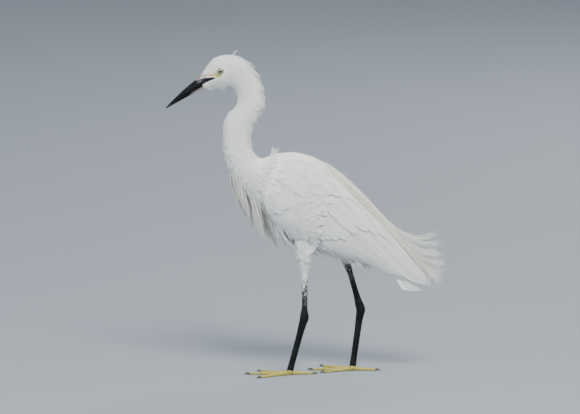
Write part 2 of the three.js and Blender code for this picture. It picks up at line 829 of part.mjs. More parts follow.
const headRoom = solid(loft(body, 'billBase', 'crown', 9, { grow: GAP, cutStart: -GAP }));
const cutBy = (made, geometries) => {
  const rest = geometries.reduce((left, one) => left.subtract(solid(one)), made);
  return largest(rest);
};
const billUpper = solid(billHalf(billRise, GAP / 2)).subtract(headRoom);
addNode('bill_upper', cutBy(billUpper, bothSides(nostril())), BILL_BLACK);
const billLower = solid(billHalf((t) => -billDrop(t), -GAP / 2)).subtract(headRoom);
addNode('bill_lower', largest(billLower), BILL_BLACK);

const crest = [
  tuft(body, 3.35, 6, { length: 9, width: 5, rise: 9 }),
  tuft(body, 3.5, -14, { length: 10, width: 4.5, rise: 6 }),
  tuft(body, 4.5, -8, { length: 11, width: 5, rise: 3 }),
];
const headWhole = fuse([loft(body, 'billBase', 'nape', 12), ...bothSides(lidRing()), ...crest.map(lock)]);
const headCutters = [...bothSides(eyeBall(EYE_RADIUS + GAP)), ...bothSides(mouthLine())];
addNode('head', cutBy(headWhole, headCutters), PLUMAGE);
addPair('eye', solid(eyeBall(EYE_RADIUS)), IRIS_YELLOW);

const napeLocks = [
  tuft(body, 5.6, 10, { length: 12, width: 6, rise: 2 }),
  tuft(body, 6.8, -12, { length: 13, width: 6, rise: 2.5 }),
];
addNode('neck_upper', fuse([trunkPiece('neck_upper', GAP), ...napeLocks.map(lock)]), PLUMAGE);
const neckLocks = [
  tuft(body, 8.8, 8, { length: 12, width: 6, rise: 2.5 }),
  tuft(body, 9.7, -10, { length: 12, width: 6, rise: 2.5 }),
];
addNode('neck_middle', fuse([trunkPiece('neck_middle', GAP), ...neckLocks.map(lock)]), PLUMAGE);

const neckPlumes = breastPlumes(4, 0, 0.2);
const neckLower = fuse([trunkPiece('neck_lower', GAP), ...neckPlumes.map(lock)]);
addNode('neck_lower', largest(neckLower.subtract(breastRoom)), PLUMAGE);
const shoulderLocks = [
  tuft(body, 13.7, 8, { length: 13, width: 6, rise: 9 }),
  tuft(body, 13.9, -12, { length: 12, width: 6, rise: 8 }),
];
const breastLocks = [...breastPlumes(14, 0.3, 1), ...shoulderLocks];
const breast = fuse([trunkPiece('breast', GAP), ...breastLocks.map(lock)]);
addNode('breast', largest(breast.subtract(torsoRoom)), PLUMAGE);

const thighTube = (side, grow = 0) => {
  const grown = ({ at, wide, deep }) => ({ at, wide: wide + grow, deep: deep + grow });
  return solid(limb(LEGS[side].thigh.map(grown), { sides: THIGH_SIDES }));
};
const thighRoom = wasm.Manifold.union(['left', 'right'].map((side) => thighTube(side, GAP)));
const roomFor = (locks) => wasm.Manifold.union(locks.map((one) => solid(lock({ ...one, grow: GAP }))));
const backLocks = backPlumes();
const belly = bellyLocks();
const bellyCut = belly.map((one) => solid(lock(one)).subtract(thighRoom));
const torso = fuse([trunkPiece('torso', GAP), ...backLocks.map(lock)]);
addNode('torso', largest(wasm.Manifold.union([torso, ...bellyCut])), PLUMAGE);
const lockRoom = roomFor([...backLocks, ...belly]);

const tailVanes = Array.from({ length: TAIL.feathers }, (_, i) => tailFeather(i));
const tailLocks = underTail();
const tail = fuse([tailCore(), ...tailVanes, ...tailLocks.map(lock)]);
addNode('tail', largest(tail.subtract(torsoRoom).subtract(lockRoom)), PLUMAGE);

const tailRoom = wasm.Manifold.union([
  solid(tailCore(GAP)),
  ...tailVanes.map((_, i) => solid(tailFeather(i, GAP))),
  roomFor(tailLocks),
]);
const midSlab = solid(new THREE.BoxGeometry(SPAN, 2 * GAP, SPAN));
const wingPieces = [patch(wings, ARM), ...Object.values(WING_TIERS).flatMap((row) => tier(wings, row))];
const wingsRoom = wasm.Manifold.union([trunkRoom, lockRoom, tailRoom, thighRoom, midSlab]);
for (const side of ['right', 'left']) {
  const whole = fuse(side === 'right' ? wingPieces : wingPieces.map(mirrored));
  addNode(`wing_${side}`, largest(whole.subtract(wingsRoom)), PLUMAGE);
}

for (const [side, leg] of Object.entries(LEGS)) {
  const sign = side === 'left' ? -1 : 1;
  const whole = bareLeg(leg);
  const thigh = between(thighTube(side), leg.bareFrom + GAP / 2, SPAN / 2).subtract(trunkRoom);
  addNode(`thigh_${side}`, largest(thigh), PLUMAGE);
  const ankleTop = leg.ankle.z + ANKLE_TOP;
  addNode(`shank_${side}`, largest(between(whole, ankleTop + GAP / 2, leg.bareFrom - GAP / 2)), LEG_BLACK);
  addNode(`tarsus_${side}`, largest(between(whole, FOOT_TOP + GAP / 2, ankleTop - GAP / 2)), LEG_BLACK);

  const toes = Object.entries(TOES).map(([name, { length, turn }]) => {
    const angle = (turn === 180 ? 180 + leg.hindTurn * sign : turn) * DEGREE;
    const direction = point(-Math.cos(angle), sign * Math.sin(angle), 0);
    return { name, length, direction };
  });
  const knuckle = new THREE.SphereGeometry(1, 10, 7).rotateX(90 * DEGREE).scale(...KNUCKLE);
  knuckle.translate(leg.foot.x, leg.foot.y, leg.foot.z);
  const foot = fuse([knuckle, ...toes.map(({ length, direction }) => toe(leg.foot, direction, length))]);
  addNode(`foot_${side}`, largest(between(foot, 0, FOOT_TOP - GAP / 2)), TOE_YELLOW);
  for (const { name, length, direction } of toes) {
    addNode(`claw_${name}_${side}`, solid(claw(leg.foot, direction, length)), CLAW_HORN);
  }
}

bird.position.x = ORIGIN_SHIFT;

export default bird;
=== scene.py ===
"""A little egret in breeding plumage, standing in mid-stride, dressed feather by feather.

The bird faces -X and stands on Z = 0. Shapes are worked out in millimetres and turned to metres
where a mesh is made.
"""

import math

import bpy
import numpy as np
from bpy.props import FloatProperty, FloatVectorProperty, IntProperty, PointerProperty
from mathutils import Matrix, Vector


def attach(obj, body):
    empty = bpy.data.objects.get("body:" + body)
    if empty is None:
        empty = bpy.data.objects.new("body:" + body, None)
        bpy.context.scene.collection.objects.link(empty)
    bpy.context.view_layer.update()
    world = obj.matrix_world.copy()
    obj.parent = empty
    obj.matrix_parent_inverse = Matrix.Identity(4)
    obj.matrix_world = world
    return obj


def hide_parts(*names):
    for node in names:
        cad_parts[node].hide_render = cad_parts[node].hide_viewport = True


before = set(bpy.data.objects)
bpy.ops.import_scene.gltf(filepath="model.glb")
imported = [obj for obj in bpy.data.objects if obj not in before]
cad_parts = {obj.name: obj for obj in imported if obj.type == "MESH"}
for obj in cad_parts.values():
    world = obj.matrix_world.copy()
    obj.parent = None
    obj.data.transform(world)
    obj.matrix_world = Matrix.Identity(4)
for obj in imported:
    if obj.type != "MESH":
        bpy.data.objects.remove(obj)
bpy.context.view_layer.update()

bl_info = {
    "name": "Little egret",
    "version": (1, 0, 0),
    "blender": (4, 5, 0),
    "location": "3D View > Sidebar > Egret",
    "description": "Builds a life-size little egret, feather by feather, round its packed solids",
    "category": "Object",
}

# Metres in a millimetre.
MM = 0.001
# From the origin of the measures below to the solids' origin, in millimetres.
SHIFT = np.array([-4.0, 0.0, 0.0])
SEED = 11
# Side of each feather's patch on the unwrapped skin.
PATCH = 0.003

# Cross-sections of the flesh, bill to tail: top x, z, bottom x, z, half width, wider above by.
BODY = {
    "billBase": (-161, 478, -154, 458, 7.5, 0),
    "lores": (-152, 494, -141, 460, 10.5, 0),
    "brow": (-140, 509, -127, 461, 14.5, 0),
    "crown": (-117, 516, -113, 459, 16.5, 0),
    "hindCrown": (-92, 510, -106.5, 453, 16.5, 0),
    "nape": (-72.5, 487, -104, 446, 16, 0),
    "neckTop": (-62.5, 461, -104.5, 439.5, 15.5, 0),
    "neckHook": (-60, 437, -107, 432, 16, 0),
    "neckBend": (-67, 416, -113.5, 424, 16.5, 0),
    "neckFront": (-75.5, 399, -121.5, 409, 17, 0),
    "neckMiddle": (-80, 382, -125, 386, 17.5, 0),
    "neckLow": (-77.5, 364, -124.5, 361, 19, 0),
    "neckFoot": (-69, 352, -118.5, 334, 22, 0),
    "collar": (-58, 350, -107, 308, 26, 0.03),
    "chest": (-44, 357, -88, 280, 31, 0.06),
    "shoulders": (-27, 361, -67, 258, 35, 0.1),
    "mantle": (-3, 361, -40, 231, 38, 0.12),
    "back": (28, 349.5, -8, 211, 38, 0.12),
    "saddle": (60, 324, 26, 200, 34, 0.1),
    "loin": (91, 292, 64, 193, 27, 0.06),
    "rump": (118, 255, 97, 184, 19, 0),
    "tailBase": (138, 224, 123, 186, 11.5, 0),
}

# Cross-sections of the folded wings' outer shape, shoulder to wing tip.
WINGS = {
    "shoulder": (-38, 357, -68, 268, 41, 0),
    "wrist": (-14, 360, -48, 240, 45, 0),
    "forearm": (18, 352, -15, 213, 47, 0),
    "elbow": (54, 328, 24, 196, 44, 0),
    "secondaries": (89, 297, 65, 182, 37, 0),
    "tertials": (123, 262, 104, 171, 29, 0),
    "overTail": (155, 225, 140, 152, 21, 0),
    "pastTail": (185, 190, 172, 138, 14, 0),
    "tip": (213, 163, 205, 136, 8.5, 0),
}


# Numbers and small helpers


def mix(a, b, t):
    return a + (b - a) * t


def vec(*values):
    return np.array(values, float)


def unit(v):
    return v / np.maximum(np.linalg.norm(v, axis=-1, keepdims=True), 1e-9)


def dot(a, b):
    return (a * b).sum(-1, keepdims=True)


def smooth(low, high, x):
    t = np.clip((x - low) / (high - low), 0, 1)
    return t * t * (3 - 2 * t)


def between(points, at):
    """Places on a smooth path through points, at steps counted from the first point."""
    last = len(points) - 1
    i = np.clip(np.floor(at).astype(int), 0, last - 1)
    t = (at - i)[..., None]
    a, b, c, d = (points[np.clip(i + k, 0, last)] for k in (-1, 0, 1, 2))
    return (
        (2 * t**3 - 3 * t**2 + 1) * b + (3 * t**2 - 2 * t**3) * c
        + (t**3 - 2 * t**2 + t) * (c - a) / 2 + (t**3 - t**2) * (d - b) / 2
    )


def catmull_rom(points, samples):
    """A smooth path through a few points, at so many even steps."""
    points = np.asarray(points, float)
    return between(points, np.linspace(0, len(points) - 1, samples))


class Skin:
    """A smooth skin through cross-sections. u counts them; phi goes round from the top (0) by the
    right side (90) to the bottom (180), and by the left side with negative angles."""

    def __init__(self, sections, roundness=1.0):
        self.rows = np.array(list(sections.values()), float)
        self.roundness = roundness

    def point(self, u, phi, grow=0.0):
        u, phi = np.broadcast_arrays(np.asarray(u, float), np.asarray(phi, float))
        top_x, top_z, low_x, low_z, half, lean = np.moveaxis(between(self.rows, u), -1, 0)
        half_x, half_z = (top_x - low_x) / 2, (top_z - low_z) / 2
        stretch = 1 + grow / np.hypot(half_x, half_z)
        up, out = np.cos(np.radians(phi)), np.sin(np.radians(phi))
        up = np.sign(up) * np.abs(up) ** self.roundness
        out = np.sign(out) * np.abs(out) ** self.roundness
        return np.stack([
            low_x + half_x + half_x * up * stretch,
            (half + grow) * out * (1 + lean * up),
            low_z + half_z + half_z * up * stretch,
        ], -1)

    def slopes(self, u, phi):
        """How a point moves along the skin and round it."""
        along = (self.point(u + 0.01, phi) - self.point(u - 0.01, phi)) / 0.02
        around = (self.point(u, phi + 1.0) - self.point(u, phi - 1.0)) / 2
        return along, around

    def normal(self, u, phi):
        along, around = self.slopes(u, phi)
        return unit(np.cross(along, around))

    def spot(self, u, phi):
        """A place on an unwrap of the skin's own shape, as a UV."""
        return np.stack([(phi / 360 + 0.5) % 1 * 0.96 + 0.02, u / len(self.rows) * 0.96 + 0.02], -1)


body = Skin(BODY)
wings = Skin(WINGS, 0.8)


# Meshes


def grid_faces(rows, columns, start=0, around=False):
    """Quads over a grid of points, row by row; around joins the last column to the first."""
    steps = columns if around else columns - 1
    r, c = np.meshgrid(np.arange(rows - 1), np.arange(steps), indexing="ij")
    d = (c + 1) % columns
    a, b = r * columns + c, r * columns + d
    return np.stack([a, a + columns, b + columns, b], -1).reshape(-1, 4) + start


def in_metres(points):
    return ((np.asarray(points) + SHIFT) * MM).tolist()


def new_mesh(name, points, faces, sharp=None):
    """A softly shaded mesh in metres from points in millimetres, with edges sharp past an angle."""
    mesh = bpy.data.meshes.new(name)
    mesh.from_pydata(in_metres(points), [], [list(f) for f in faces])
    mesh.validate()
    mesh.shade_smooth()
    if sharp:
        mesh.set_sharp_from_angle(angle=math.radians(sharp))
    return mesh


def put_uv(mesh, name, values):
    """One UV for each point, given to every corner that meets it."""
    corners = np.empty(len(mesh.loops), int)
    mesh.loops.foreach_get("vertex_index", corners)
    layer = mesh.uv_layers.new(name=name)
    layer.data.foreach_set("uv", np.asarray(values, float)[corners].ravel())


def put_values(mesh, name, values):
    values = np.asarray(values, float)
    kind, key = ("FLOAT", "value") if values.ndim == 1 else ("FLOAT_VECTOR", "vector")
    mesh.attributes.new(name, kind, "POINT").data.foreach_set(key, values.ravel())


def put_in_scene(name, data):
    thing = bpy.data.objects.new(name, data)
    bpy.context.scene.collection.objects.link(thing)
    return thing


def add_piece(mesh, replaces=(), finish=None):
    """Puts a finished mesh in the scene, on the bird's one body."""
    piece = put_in_scene(mesh.name, mesh)
    if finish:
        mesh.materials.clear()
        mesh.materials.append(material_for(finish))
    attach(piece, "root")
    if replaces:
        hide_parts(*replaces)


def applied(piece):
    """The plain mesh that an object's modifiers make. They are removed from it."""
    bpy.context.view_layer.update()
    ready = piece.evaluated_get(bpy.context.evaluated_depsgraph_get())
    mesh = bpy.data.meshes.new_from_object(ready)
    piece.modifiers.clear()
    return mesh


def ring_tube(rings):
    """Points and faces of a tube through rings of points (rows, sides, 3), closed at its ends."""
    rows, sides = rings.shape[:2]
    faces = grid_faces(rows, sides, around=True).tolist()
    faces.append(list(range(sides)))
    faces.append([(rows - 1) * sides + s for s in reversed(range(sides))])
    return rings.reshape(-1, 3), faces


def turned_out(points, faces):
    """Faces turned to point out of a closed shape."""
    points = np.asarray(points)
    volume = 0.0
    for face in faces:
        for k in range(1, len(face) - 1):
            volume += np.dot(points[face[0]], np.cross(points[face[k]], points[face[k + 1]]))
    return [f[::-1] for f in faces] if volume < 0 else faces


def joined(parts):
    """Several (points, faces) as one."""
    points, faces, start = [], [], 0
    for part_points, part_faces in parts:
        points.append(part_points)
        faces.extend([[k + start for k in f] for f in part_faces])
        start += len(part_points)
    return np.concatenate(points), faces


# Node trees


class Value:
    """A socket that Python sums and products can be written with."""

    def __init__(self, tree, socket):
        self.tree, self.socket = tree, socket

    def maths(self, operation, first, second):
        return self.tree.add("ShaderNodeMath", {"operation": operation}, {0: first, 1: second})

    def __add__(self, other):
        return self.maths("ADD", self, other)

    def __sub__(self, other):
        return self.maths("SUBTRACT", self, other)

    def __rsub__(self, other):
        return self.maths("SUBTRACT", other, self)

    def __mul__(self, other):
        return self.maths("MULTIPLY", self, other)

    __radd__, __rmul__ = __add__, __mul__

    def wave(self):
        return self.maths("SINE", self, 0.0)

    def size(self):
        return self.maths("ABSOLUTE", self, 0.0)

    def step(self, low, high, from_value=0.0, to_value=1.0):
        """A soft step between two values."""
        return self.tree.add("ShaderNodeMapRange", {"interpolation_type": "SMOOTHSTEP"}, {
            "Value": self, "From Min": low, "From Max": high, "To Min": from_value, "To Max": to_value,
        })


class Tree:
    """Adds nodes to a tree, each from its type, its settings and its sockets' values or links."""

    def __init__(self, tree):
        self.tree = tree

    def node(self, kind, settings=None, sockets=None):
        node = self.tree.nodes.new(kind)
        for key, value in (settings or {}).items():
            setattr(node, key, value)
        for key, value in (sockets or {}).items():
            socket = node.inputs[key]
            if isinstance(value, Value):
                self.tree.links.new(value.socket, socket)
            else:
                socket.default_value = value
        return node

    def add(self, kind, settings=None, sockets=None, out=0):
        return Value(self, self.node(kind, settings, sockets).outputs[out])

    def blend(self, amount, first, second):
        """Two colours mixed by an amount."""
        first, second = (c if isinstance(c, Value) else (*c, 1.0) for c in (first, second))
        return self.add("ShaderNodeMix", {"data_type": "RGBA"}, {0: amount, 6: first, 7: second}, out=2)

    def noise(self, scale, detail, where):
        return self.add("ShaderNodeTexNoise", None, {"Scale": scale, "Detail": detail, "Vector": where})

    def scales(self, scale, where):
        """How far a point is from the edges of small scales."""
        return self.add("ShaderNodeTexVoronoi", {"feature": "DISTANCE_TO_EDGE"}, {
            "Vector": where, "Scale": scale,
        })

    def drawn(self, where, scale, turn=(0.0, 0.0, 0.0)):
        """A pattern's coordinates, turned and scaled along each axis."""
        return self.add("ShaderNodeMapping", None, {"Vector": where, "Rotation": turn, "Scale": scale})

    def parts(self, vector):
        node = self.node("ShaderNodeSeparateXYZ", None, {0: vector})
        return [Value(self, socket) for socket in node.outputs]

    def places(self):
        """Where a point is on the object, in metres."""
        return self.add("ShaderNodeTexCoord", out=3)

    def mask(self, name):
        return self.add("ShaderNodeAttribute", {"attribute_name": name}, out=2)

    def bump(self, height, strength, distance):
        return self.add("ShaderNodeBump", None, {
            "Strength": strength, "Distance": distance, "Height": height,
        })


def finish_of(name, paint):
    """A material whose nodes are drawn by paint(tree), which returns the shader's sockets."""
    material = bpy.data.materials.new(name)
    material.use_nodes = True
    material.node_tree.nodes.clear()
    tree = Tree(material.node_tree)
    shader = tree.add("ShaderNodeBsdfPrincipled", None, paint(tree))
    tree.node("ShaderNodeOutputMaterial", None, {"Surface": shader})
    return material


_finishes = {}


def material_for(key):
    """Each finish is made once."""
    if key not in _finishes:
        _finishes[key] = finish_of(*FINISHES[key])
    return _finishes[key]


def colours():
    return bpy.context.scene.egret_colours


def sizes():
    return bpy.context.scene.egret_sizes


def feather_finish(tree, tint, barbs, relief):
    """Feather: fine slanting barbs either side of a shaft, paler and greyer from place to place."""
    across, along, _ = tree.parts(tree.add("ShaderNodeUVMap", {"uv_map": "Vane"}))
    place = tree.places()
    from_shaft = (across - 0.5).size()
    lines = ((along * barbs - from_shaft * 9.0 + across * 0.4) * (2 * math.pi)).wave()
    ragged = tree.noise(140.0, 2.0, place)
    cloudy = tree.noise(22.0, 3.0, place)
    shaft = from_shaft.step(0.02, 0.06, 1.0, 0.0)
    pale = tree.blend(cloudy.step(0.3, 0.75), tint, [c * 0.965 for c in tint])
    fine = tree.blend(lines * 0.012 + ragged * 0.05, pale, [0.62, 0.64, 0.66])
    creamy = tree.blend(tree.mask("shade"), fine, colours().cream)
    height = lines * 0.35 + ragged * 0.5 + shaft * 0.6
    return {
        "Base Color": tree.blend(shaft * 0.10, creamy, [0.70, 0.68, 0.60]),
        "Roughness": ragged.step(0.2, 0.8, 0.62, 0.82),
        "Subsurface Weight": 0.35,
        "Subsurface Scale": 0.004,
        "Subsurface Radius": (1.0, 0.95, 0.85),
        "Specular IOR Level": 0.22,
        "Sheen Weight": 0.12,
        "Sheen Roughness": 0.5,
        "Normal": tree.bump(height, relief, 0.0004),
    }


def white_feather(tree):
    return feather_finish(tree, colours().plumage, 26.0, 0.35)


def down_feather(tree):
    return feather_finish(tree, colours().plumage, 7.0, 0.25)


def plume_feather(tree):
    tint = mix(np.array(colours().plumage), np.array(colours().cream), 0.35)
    return feather_finish(tree, tint.tolist(), 18.0, 0.2)


def skin_finish(tree):
    """Feathered skin, with the bare yellowish lores, the black gape and the dark lids."""
    place = tree.places()
    grain = tree.noise(420.0, 4.0, place)
    blotch = tree.noise(190.0, 3.0, place)
    plain = tree.blend(blotch, [0.80, 0.79, 0.75], [0.72, 0.70, 0.66])
    bare = tree.blend(blotch.step(0.35, 0.65), colours().lores, [0.52, 0.43, 0.24])
    bare = tree.blend(grain.step(0.58, 0.70) * 0.8, bare, [0.16, 0.12, 0.08])
    mottled = tree.blend(grain.step(0.5, 0.62), [0.56, 0.46, 0.38], [0.06, 0.055, 0.05])
    flecks = tree.noise(1.0, 2.0, tree.drawn(place, (900.0, 900.0, 260.0)))
    flecks = flecks + (1 - tree.mask("speckled")) * 0.3
    legs = tree.blend(flecks.step(0.54, 0.68), colours().leg, [0.68, 0.68, 0.66])
    chin = tree.blend(grain.step(0.4, 0.6), [0.56, 0.42, 0.33], [0.72, 0.66, 0.58])
    colour = tree.blend(tree.mask("bare"), plain, bare)
    colour = tree.blend(tree.mask("yellow"), colour, colours().eye_patch)
    colour = tree.blend(tree.mask("mottled"), colour, mottled)
    colour = tree.blend(tree.mask("speckled").step(0.0, 0.1), colour, legs)
    colour = tree.blend(tree.mask("pink"), colour, chin)
    return {
        "Base Color": tree.blend(tree.mask("black"), colour, colours().bill),
        "Roughness": tree.mask("black").step(0.0, 1.0, 0.62, 0.38),
        "Specular IOR Level": 0.35,
        "Normal": tree.bump(grain + blotch, 0.35, 0.0005),
    }


def bill_finish(tree):
    """Black horn: a dull sheen, fine lengthwise grain, and a paler flesh-grey base below."""
    place = tree.places()
    along = (0.0, math.radians(33.5), 0.0)
    grain = tree.noise(1.0, 4.0, tree.drawn(place, (25.0, 260.0, 260.0), along))
    wear = tree.noise(60.0, 3.0, place)
    flakes = tree.noise(380.0, 3.0, place)
    black = tree.blend(grain.step(0.35, 0.7), colours().bill, [0.010, 0.012, 0.012])
    pink = tree.blend(wear, [0.52, 0.36, 0.29], [0.42, 0.33, 0.28])
    pale = tree.blend(wear.step(0.4, 0.6), [0.52, 0.50, 0.47], [0.50, 0.36, 0.30])
    dusty = tree.blend(tree.mask("dusty") * flakes.step(0.46, 0.56), black, pale)
    return {
        "Base Color": tree.blend(tree.mask("pink"), dusty, pink),
        "Roughness": grain.step(0.2, 0.8, 0.24, 0.38),
        "Specular IOR Level": 0.12,
        "Normal": tree.bump(grain + wear * 0.4, 0.3, 0.0004),
    }


def eye_finish(tree):
    """A round black pupil in a pale yellow iris with fine rays, under a wet clear coat."""
    ring = tree.mask("ring")
    rays = tree.noise(1.0, 3.0, tree.add("ShaderNodeCombineXYZ", None, {
        "X": tree.mask("turn") * 14.0, "Y": ring * 1.5,
    }))
    iris = tree.blend(rays.step(0.3, 0.7), colours().iris, [0.62, 0.60, 0.26])
    iris = tree.blend(ring.step(0.78, 0.97), iris, [0.03, 0.03, 0.02])
    return {
        "Base Color": tree.blend(ring.step(0.64, 0.68), [0.004, 0.004, 0.004], iris),
        "Roughness": 0.18,
        "Specular IOR Level": 0.5,
        "Coat Weight": 1.0,
        "Coat Roughness": 0.03,
    }


def leg_finish(tree):
    """Black scaled leg, greyer on the scales' faces with painted shade in their creases, flecked white where
    feathers end.
    """
    place = tree.places()
    scales = tree.scales(420.0, place)
    dust = tree.noise(90.0, 3.0, place)
    black = tree.blend(dust.step(0.35, 0.75), colours().leg, [0.011, 0.014, 0.014])
    # Painted shade: the creases between the scales are drawn darker than their faces.
    crease_shaded = tree.blend(scales.step(0.0, 0.12, 1.0, 0.0), black, [0.006, 0.007, 0.007])
    white = tree.mask("fleck") * tree.noise(620.0, 2.0, place).step(0.54, 0.62) * 0.8
    return {
        "Base Color": tree.blend(white, crease_shaded, [0.62, 0.63, 0.62]),
        "Roughness": dust.step(0.2, 0.8, 0.26, 0.42),
        "Specular IOR Level": 0.13,
        "Normal": tree.bump(scales.step(0.0, 0.15), 0.5, 0.0004),
    }


def toe_finish(tree):
    """Greenish yellow scaled toes, with painted shade in the creases between the scales, and dusky near the
    ankle.
    """
    place = tree.places()
    scales = tree.scales(520.0, place)
    stain = tree.noise(70.0, 3.0, place)
    yellow = tree.blend(stain.step(0.3, 0.7), colours().toes, [0.36, 0.34, 0.08])
    # Painted shade: the creases between the scales are drawn much darker than the yellow faces.
    crease_shaded = tree.blend(scales.step(0.0, 0.12, 0.75, 0.0), yellow, [0.10, 0.09, 0.03])
    return {
        "Base Color": tree.blend(tree.mask("dusky"), crease_shaded, colours().leg),
        "Roughness": stain.step(0.2, 0.8, 0.42, 0.6),
        "Specular IOR Level": 0.4,
        "Normal": tree.bump(scales.step(0.0, 0.15), 0.5, 0.0003),
    }


def claw_finish(tree):
    """Dark horn, paler in fine streaks."""
    grain = tree.noise(300.0, 3.0, tree.places())
    return {
        "Base Color": tree.blend(grain.step(0.3, 0.7), [0.020, 0.018, 0.015], [0.07, 0.06, 0.045]),
        "Roughness": grain.step(0.2, 0.8, 0.3, 0.5),
        "Normal": tree.bump(grain, 0.25, 0.0002),
    }


def floor_finish(tree):
    """A pale matt studio floor, faintly mottled."""
    tone = colours().floor
    mottle = tree.noise(3.0, 4.0, tree.places())
    return {
        "Base Color": tree.blend(mottle, tone, [c * 0.97 for c in tone]),
        "Roughness": 0.9,
        "Specular IOR Level": 0.1,
    }


FINISHES = {
    "white": ("white_feather", white_feather),
    "down": ("soft_feather", down_feather),
    "plume": ("plume", plume_feather),
    "skin": ("egret_skin", skin_finish),
    "bill": ("black_bill", bill_finish),
    "eye": ("eye", eye_finish),
    "leg": ("black_leg", leg_finish),
    "toes": ("yellow_toes", toe_finish),
    "claw": ("claw_horn", claw_finish),
    "floor": ("pale_floor", floor_finish),
}


# Coats: many small feathers set out by a node tree


def blade(name, outline, rows, columns, thick, notch=0.0, sag=0.0):
    """One small feather, a unit wide and long: a thin closed blade with a low ridge. Its edge is
    notched at every other row, and its tip sags at the sides."""
    t = np.linspace(0, 1, rows)
    k = np.linspace(-1, 1, columns)
    ragged = np.where(np.arange(rows) % 2, 1.0, 1.0 - notch)
    x = (0.5 * outline(t) * ragged)[:, None] * k
    y = t[:, None] - sag * (k**2)[None, :] * smooth(0.5, 1.0, t)[:, None]
    z = np.repeat((thick * (1 - 0.9 * k**2))[None, :], rows, 0) * (1 - 0.6 * t)[:, None]
    top = np.stack([x, y, z], -1)
    rim = top[:, [0, -1]].copy()
    rim[..., 2] = -0.15 * thick
    points = np.concatenate([top.reshape(-1, 3), rim.reshape(-1, 3)])
    base = rows * columns
    faces = [f[::-1] for f in grid_faces(rows, columns).tolist()]
    for r in range(rows - 1):
        a, b = base + 2 * r, base + 2 * r + 1
        faces.append([a, a + 2, b + 2, b])
        faces.append([r * columns, (r + 1) * columns, a + 2, a])
        faces.append([(r + 1) * columns - 1, b, b + 2, (r + 2) * columns - 1])
    faces.append([base, base + 1, *reversed(range(columns))])
    last = (rows - 1) * columns
    faces.append([base + 2 * rows - 1, base + 2 * rows - 2, *range(last, last + columns)])
    mesh = bpy.data.meshes.new(name)
    mesh.from_pydata(points.tolist(), [], turned_out(points, faces))
    mesh.shade_smooth()
    mesh.set_sharp_from_angle(angle=math.radians(60))
    put_uv(mesh, "Vane", points[:, :2] + vec(0.5, 0))
    return bpy.data.objects.new(name, mesh)


def hair_outline(t):
    """Width along a narrow feather."""
    return np.where(t < 0.3, mix(0.6, 1.0, t / 0.3), np.maximum(1 - ((t - 0.3) / 0.7) ** 1.5, 0.05))


def body_outline(t):
    """Width along a rounded feather."""
    return np.where(t < 0.45, mix(0.35, 1.0, np.sin(t / 0.45 * math.pi / 2)),
                    np.sqrt(np.maximum(1 - ((t - 0.45) / 0.56) ** 2.2, 0.02)))


def plate_outline(t):
    """Width along a scale plate."""
    return np.sqrt(np.maximum(1 - np.abs(2 * t - 1) ** 3.0, 0.06))


def hair_blades(thick=0.35):
    return [blade(f"blade_{k}", hair_outline, 4, 3, thick * MM, 0.0, 0.02 * k) for k in range(3)]


def body_blades():
    return [blade(f"blade_{k}", body_outline, 8, 5, 0.45 * MM, 0.10 + 0.05 * k, 0.05) for k in range(3)]


def plate_blades(thick):
    return [blade("plate", plate_outline, 6, 7, thick * MM)]


COAT_INPUTS = {"Roots": "Geometry", "Blades": "Collection", "Patch": "Float", "Finish": "Material"}


def coat_tree():
    """Sets blades on points: turned and sized by the points, bent along and across their skin."""
    group = bpy.data.node_groups.new("feather_coat", "GeometryNodeTree")
    group.interface.new_socket("Geometry", in_out="OUTPUT", socket_type="NodeSocketGeometry")
    for name, kind in COAT_INPUTS.items():
        group.interface.new_socket(name, in_out="INPUT", socket_type=f"NodeSocket{kind}")
    tree = Tree(group)
    given = tree.node("NodeGroupInput")
    roots, blades, patch, material = (Value(tree, given.outputs[name]) for name in COAT_INPUTS)

    def named(name, kind="FLOAT"):
        return tree.add("GeometryNodeInputNamedAttribute", {"data_type": kind}, {"Name": name})

    def vectors(operation, first, second):
        return tree.add("ShaderNodeVectorMath", {"operation": operation}, {0: first, 1: second})

    def scaled(vector, amount):
        return tree.add("ShaderNodeVectorMath", {"operation": "SCALE"}, {0: vector, "Scale": amount})

    picked = tree.add("GeometryNodeCollectionInfo", None, {
        "Collection": blades, "Separate Children": True, "Reset Children": True,
    })
    turn = tree.add("FunctionNodeEulerToRotation", None, {0: named("turn", "FLOAT_VECTOR")})
    placed = tree.add("GeometryNodeInstanceOnPoints", None, {
        "Points": roots,
        "Instance": picked,
        "Pick Instance": True,
        "Instance Index": named("kind", "INT"),
        "Rotation": turn,
        "Scale": named("size", "FLOAT_VECTOR"),
    })
    real = tree.add("GeometryNodeRealizeInstances", None, {"Geometry": placed})
    vane = named("Vane", "FLOAT_VECTOR")
    across, along, _ = tree.parts(vane)
    aside = (across - 0.5) * 2.0
    drop = along * along * named("bend") + aside * aside * named("cup")
    bent = tree.add("GeometryNodeSetPosition", None, {
        "Geometry": real, "Offset": scaled(named("out", "FLOAT_VECTOR"), drop * -1.0),
    })
    centred = vectors("SUBTRACT", vane, (0.5, 0.5, 0.0))
    spot = vectors("ADD", named("spot", "FLOAT_VECTOR"), scaled(centred, patch))
    stored = tree.add("GeometryNodeStoreNamedAttribute", {"data_type": "FLOAT2", "domain": "CORNER"}, {
        "Geometry": bent, "Name": "OFBake", "Value": spot,
    })
    painted = tree.add("GeometryNodeSetMaterial", None, {"Geometry": stored, "Material": material})
    tree.node("NodeGroupOutput", None, {0: painted})
    return group


def euler(side, along, out):
    """Turns that take X, Y and Z to the three directions."""
    return np.stack([
        np.arctan2(along[:, 2], out[:, 2]),
        -np.arcsin(np.clip(side[:, 2], -1, 1)),
        np.arctan2(side[:, 1], side[:, 0]),
    ], -1)


